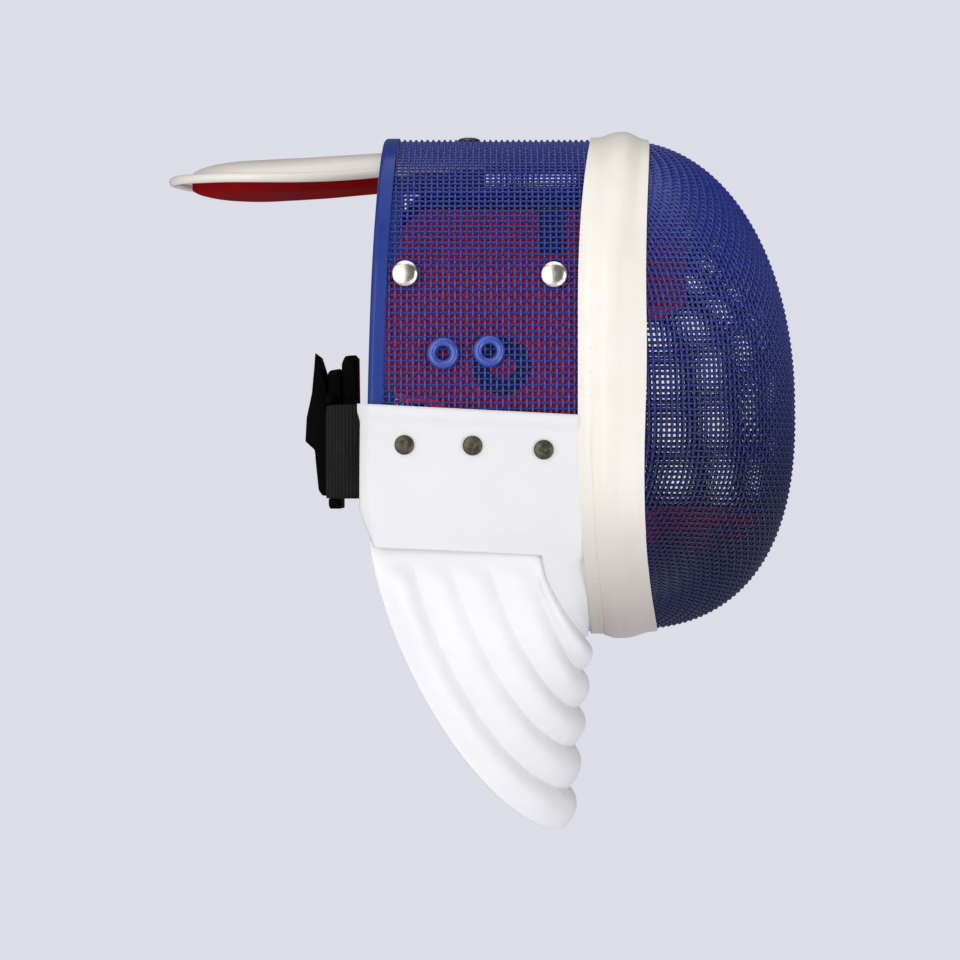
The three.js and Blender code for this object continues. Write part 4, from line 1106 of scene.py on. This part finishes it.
vinyl = Paint("white_vinyl", Coat_Weight=0.3, Coat_Roughness=0.2)
vinyl.colour(vinyl.noise(16, 4, 0.6), (208, 203, 193), (218, 213, 204))
vinyl.feed("Roughness", vinyl.noise(40, 3) * 0.2 + 0.24)
vinyl.bump(vinyl.noise(260, 3), 0.12, 0.4)
wine = Paint("wine_cloth", Roughness=0.9, Specular_IOR_Level=0.04)
red = wine.mix(wine.noise(90, 3), (112, 6, 7), (136, 11, 13))
# Painted shade: the lining is dark blue in front of Y = 44 mm, where it lies under the wire of the arch,
# standing in for the shade there; behind that it is red.
wine.colour(wine.axis(1).above(0.044, 0.002), (20, 24, 52), red)
wine.bump(thread_wave(wine, 1, 0.9) * thread_wave(wine, 0, 0.9), 0.12, 0.4)
cover = functools.partial(tongue, 1, TONGUE_PUFF, TIP_Y - COVER_INSET, COVER_INSET)
lining = functools.partial(tongue, -1, TONGUE_PAD, PADDING_END - 2, PAD_INSET)
pad("tongue_vinyl", cushion(cover, 56, 110), vinyl, "tongue_cover", "cover")
pad("tongue_lining", cushion(lining, 56, 110), wine, "tongue_pad")


def piping_point(share, side):
    y = mix(ROOT_Y, TIP_Y - PIPING, share)
    x = side * max(0, tongue_half(mix(ROOT_Y, TIP_Y, share)) - PIPING)
    return Vector((x, y, tongue_z(x, y)))


shares = [1 - (1 - k / 300) ** 2 for k in range(300)]
edge = [piping_point(s, -1) for s in shares] + [piping_point(s, 1) for s in reversed(shares)]
outline = [Vector(along_path(edge, k / 160)) for k in range(161)]
wires("tongue_edge", [outline], vinyl, ["tongue_piping"], 2 * PIPING, roundness=4, slot="cover")
stud = turned(dome_cap(6.2, 2.6, 0.8, 2.1))
stud = set_square(stud, Vector((0, 0, TOP_Z + SEAT_GAP)), Vector((0, 0, 1)))
finish(stud, "tongue_stud", gunmetal, ["tongue_rivet"], "gunmetal")

# %% [markdown]
# The strap behind the neck is elastic webbing. Its ribs run up and down, a little under a millimetre apart,
# and are real waves in the mesh. The clasp that shortens it is black plastic: side profiles that are
# extruded across its width and bevelled.

# %% Strap
STRAP_WIDTH, STRAP_WALL, STRAP_Z, STRAP_START_Y, STRAP_BACK_Y = 49.0, 1.8, -145.0, 22.0, 76.8
STRAP_POWER, STRAP_INSIDE, CLASP_WIDTH, RIB, RIB_DEPTH = 2.6, 8.2, 52.0, 0.95, 0.44


def strap_line():
    """The strap's outer face seen from above, as points one quarter of a rib apart."""
    half = arch(oval_at(STRAP_Z), rear_y(STRAP_Z)).x - STRAP_INSIDE
    turn_y, straight = rear_y(STRAP_Z) + 2, CLASP_WIDTH / 2 + 1
    side = [(half, STRAP_START_Y)]
    for k in range(400):
        turn = k / 399 * math.pi / 2
        x = straight + (half - straight) * max(0, math.cos(turn)) ** (2 / STRAP_POWER)
        side.append((x, turn_y + (STRAP_BACK_Y - turn_y) * math.sin(turn) ** (2 / STRAP_POWER)))
    points = np.array(side + [(-x, y) for x, y in reversed(side)])
    lengths = lengths_along(points)
    even = np.arange(0, lengths[-1], RIB / 4)
    return np.stack([np.interp(even, lengths, column) for column in points.T], axis=1)


line = strap_line()
ways = np.gradient(line, axis=0)
ways /= np.linalg.norm(ways, axis=1, keepdims=True)


def strap(u, v, outer):
    k = min(round(u * (len(line) - 1)), len(line) - 1)
    (x, y), (dx, dy) = line[k], ways[k]
    rib = RIB_DEPTH / 2 * (1 - math.cos(k / 4 * 2 * math.pi))
    depth = rib + 0.35 * max(0, abs(2 * v - 1) - 0.93) / 0.07
    if not outer:
        depth = STRAP_WALL - depth
    return Vector((x - dy * depth, y + dx * depth, STRAP_Z + (v - 0.5) * STRAP_WIDTH)) * MM


webbing = Paint("elastic_webbing", Roughness=0.85, Specular_IOR_Level=0.2)
threads = thread_wave(webbing, 1, 1.9) * webbing.noise(60, 3)
webbing.colour(threads, (8, 8, 7), (40, 40, 37))
webbing.bump(thread_wave(webbing, 2, 1.3), 0.08, 0.6)
strap_mesh = cushion(strap, len(line) - 1, 12)
strap_piece = finish(strap_mesh, "ribbed_strap", webbing, ["neck_strap"], slot="webbing")

# %% Clasp
CLASP_FRAME_INSET = 3.0
COVER = [(0.3, -168.4), (2.5, -168.2), (4.5, -165.3), (5.9, -152), (6.6, -143.6), (11.7, -138.9), (11, -126)]
COVER += [(8.2, -113), (6.9, -99), (6.4, -91.2), (5.1, -91.6), (2.6, -99.3), (0.3, -108.5)]
FRAME = [(-7.4, -175.4), (-1.6, -175.4), (-0.8, -173.6), (-0.8, -169.8), (-2.1, -169.8), (-2.1, -120.2)]
FRAME += [(-0.3, -120.2), (-0.3, -102), (-1.6, -100.4), (-7.4, -99.4)]
BACKPLATE = [(-17, -166.5), (-7.7, -166.5), (-7.7, -96.6), (-9.4, -92.7), (-11, -92.2), (-15.9, -91.9)]


def extruded(profile, width, bevel_mm):
    """A side profile of (behind the strap, height), carried across a width and bevelled."""
    bm = bmesh.new()
    corners = [bm.verts.new((-width / 2 * MM, (STRAP_BACK_Y + y) * MM, z * MM)) for y, z in profile]
    start = bm.faces.new(corners)
    grown = bmesh.ops.extrude_face_region(bm, geom=[start])["geom"]
    moved = [g for g in grown if isinstance(g, bmesh.types.BMVert)]
    bmesh.ops.translate(bm, vec=(width * MM, 0, 0), verts=moved)
    bmesh.ops.recalc_face_normals(bm, faces=bm.faces)
    shape = {"offset": bevel_mm * MM, "segments": 3, "profile": 0.5, "affect": "EDGES"}
    bmesh.ops.bevel(bm, geom=bm.edges[:], clamp_overlap=True, **shape)
    bmesh.ops.recalc_face_normals(bm, faces=bm.faces)
    return bm


plastic = Paint("black_plastic", Base_Color=srgb(4, 4, 4), Specular_IOR_Level=0.04)
plastic.feed("Roughness", plastic.noise(200, 3) * 0.2 + 0.6)
plastic.bump(plastic.noise(900, 3), 0.05, 0.4)
PIN, PIN_AT = 3.4, Vector((0, STRAP_BACK_Y - 2.2, -116))
narrow = CLASP_WIDTH - 2 * CLASP_FRAME_INSET
lid, shell = extruded(COVER, CLASP_WIDTH, 0.8), extruded(FRAME, narrow, 0.6)
back = extruded(BACKPLATE, narrow - 6, 1.0)
where = Matrix.Translation(PIN_AT * MM) @ Matrix.Rotation(math.pi / 2, 4, "Y")
pin = {"radius1": PIN * MM, "radius2": PIN * MM, "depth": (narrow + 6) * MM}
bmesh.ops.create_cone(shell, cap_ends=True, segments=32, matrix=where, **pin)
finish(lid, "clasp_lid", plastic, ["clasp_cover"], "clasp")
finish(shell, "clasp_shell", plastic, ["clasp_frame"], "clasp")
finish(back, "clasp_back", plastic, ["clasp_backplate"], "clasp")

# %% [markdown]
# The photograph has a pale ground with no horizon. Here the room has the same pale colour as the ground
# below the mask, so no line shows where they meet. The light is soft: large lamps overhead, beside the
# camera and behind it, and a small one low in front that fills the underside of the bib.

# %% Stage and light
def lamp(name, place, size, watts):
    """A soft lamp that looks at the middle of the mask."""
    light = bpy.data.lights.new(name, "AREA")
    light.shape = "RECTANGLE"
    light.size, light.size_y = size
    light.energy = watts
    made = add(name, light)
    made.location = place
    made.rotation_euler = (Vector((0, 0, -0.16)) - Vector(place)).to_track_quat("-Z", "Y").to_euler()


lamp("overhead", (-0.2, -0.1, 1.6), (2.0, 2.0), 18)
lamp("left_of_camera", (-1.13, 1.13, 0.2), (2.6, 2.6), 26)
lamp("behind_camera", (-2.6, 0.75, 0.2), (1.0, 1.6), 17)
lamp("right_of_camera", (-1.4, -1.7, 0.1), (0.8, 1.2), 11)
lamp("low_front", (-1.1, -1.0, -0.8), (0.8, 0.8), 8)

# The room looks as pale as the photograph's ground, but lights the mask only a little.
PALE, ROOM_LIGHT = srgb(221, 221, 232), 0.16
world = bpy.data.worlds.new("room")
bpy.context.scene.world = world
world.use_nodes = True
room = world.node_tree
rays = room.nodes.new("ShaderNodeLightPath")
strength = room.nodes.new("ShaderNodeMapRange")
strength.inputs["To Min"].default_value = ROOM_LIGHT
room.links.new(rays.outputs["Is Camera Ray"], strength.inputs["Value"])
room.links.new(strength.outputs[0], room.nodes["Background"].inputs["Strength"])
room.nodes["Background"].inputs["Color"].default_value = PALE
bpy.context.scene.view_settings.view_transform = "Standard"

GROUND_Z, GROUND_HALF = -1.0, 4.0
glow = {"Emission_Color": PALE, "Emission_Strength": 1.0}
ground = Paint("pale_ground", Base_Color=srgb(0, 0, 0), Roughness=0.9, Specular_IOR_Level=0.0, **glow)
bm = bmesh.new()
level = Matrix.Translation((0, 0, GROUND_Z))
bmesh.ops.create_grid(bm, x_segments=4, y_segments=4, size=GROUND_HALF, matrix=level)
mesh = bpy.data.meshes.new("ground")
bm.to_mesh(mesh)
bm.free()
mesh.materials.append(ground.material)
floor = add("ground", mesh)
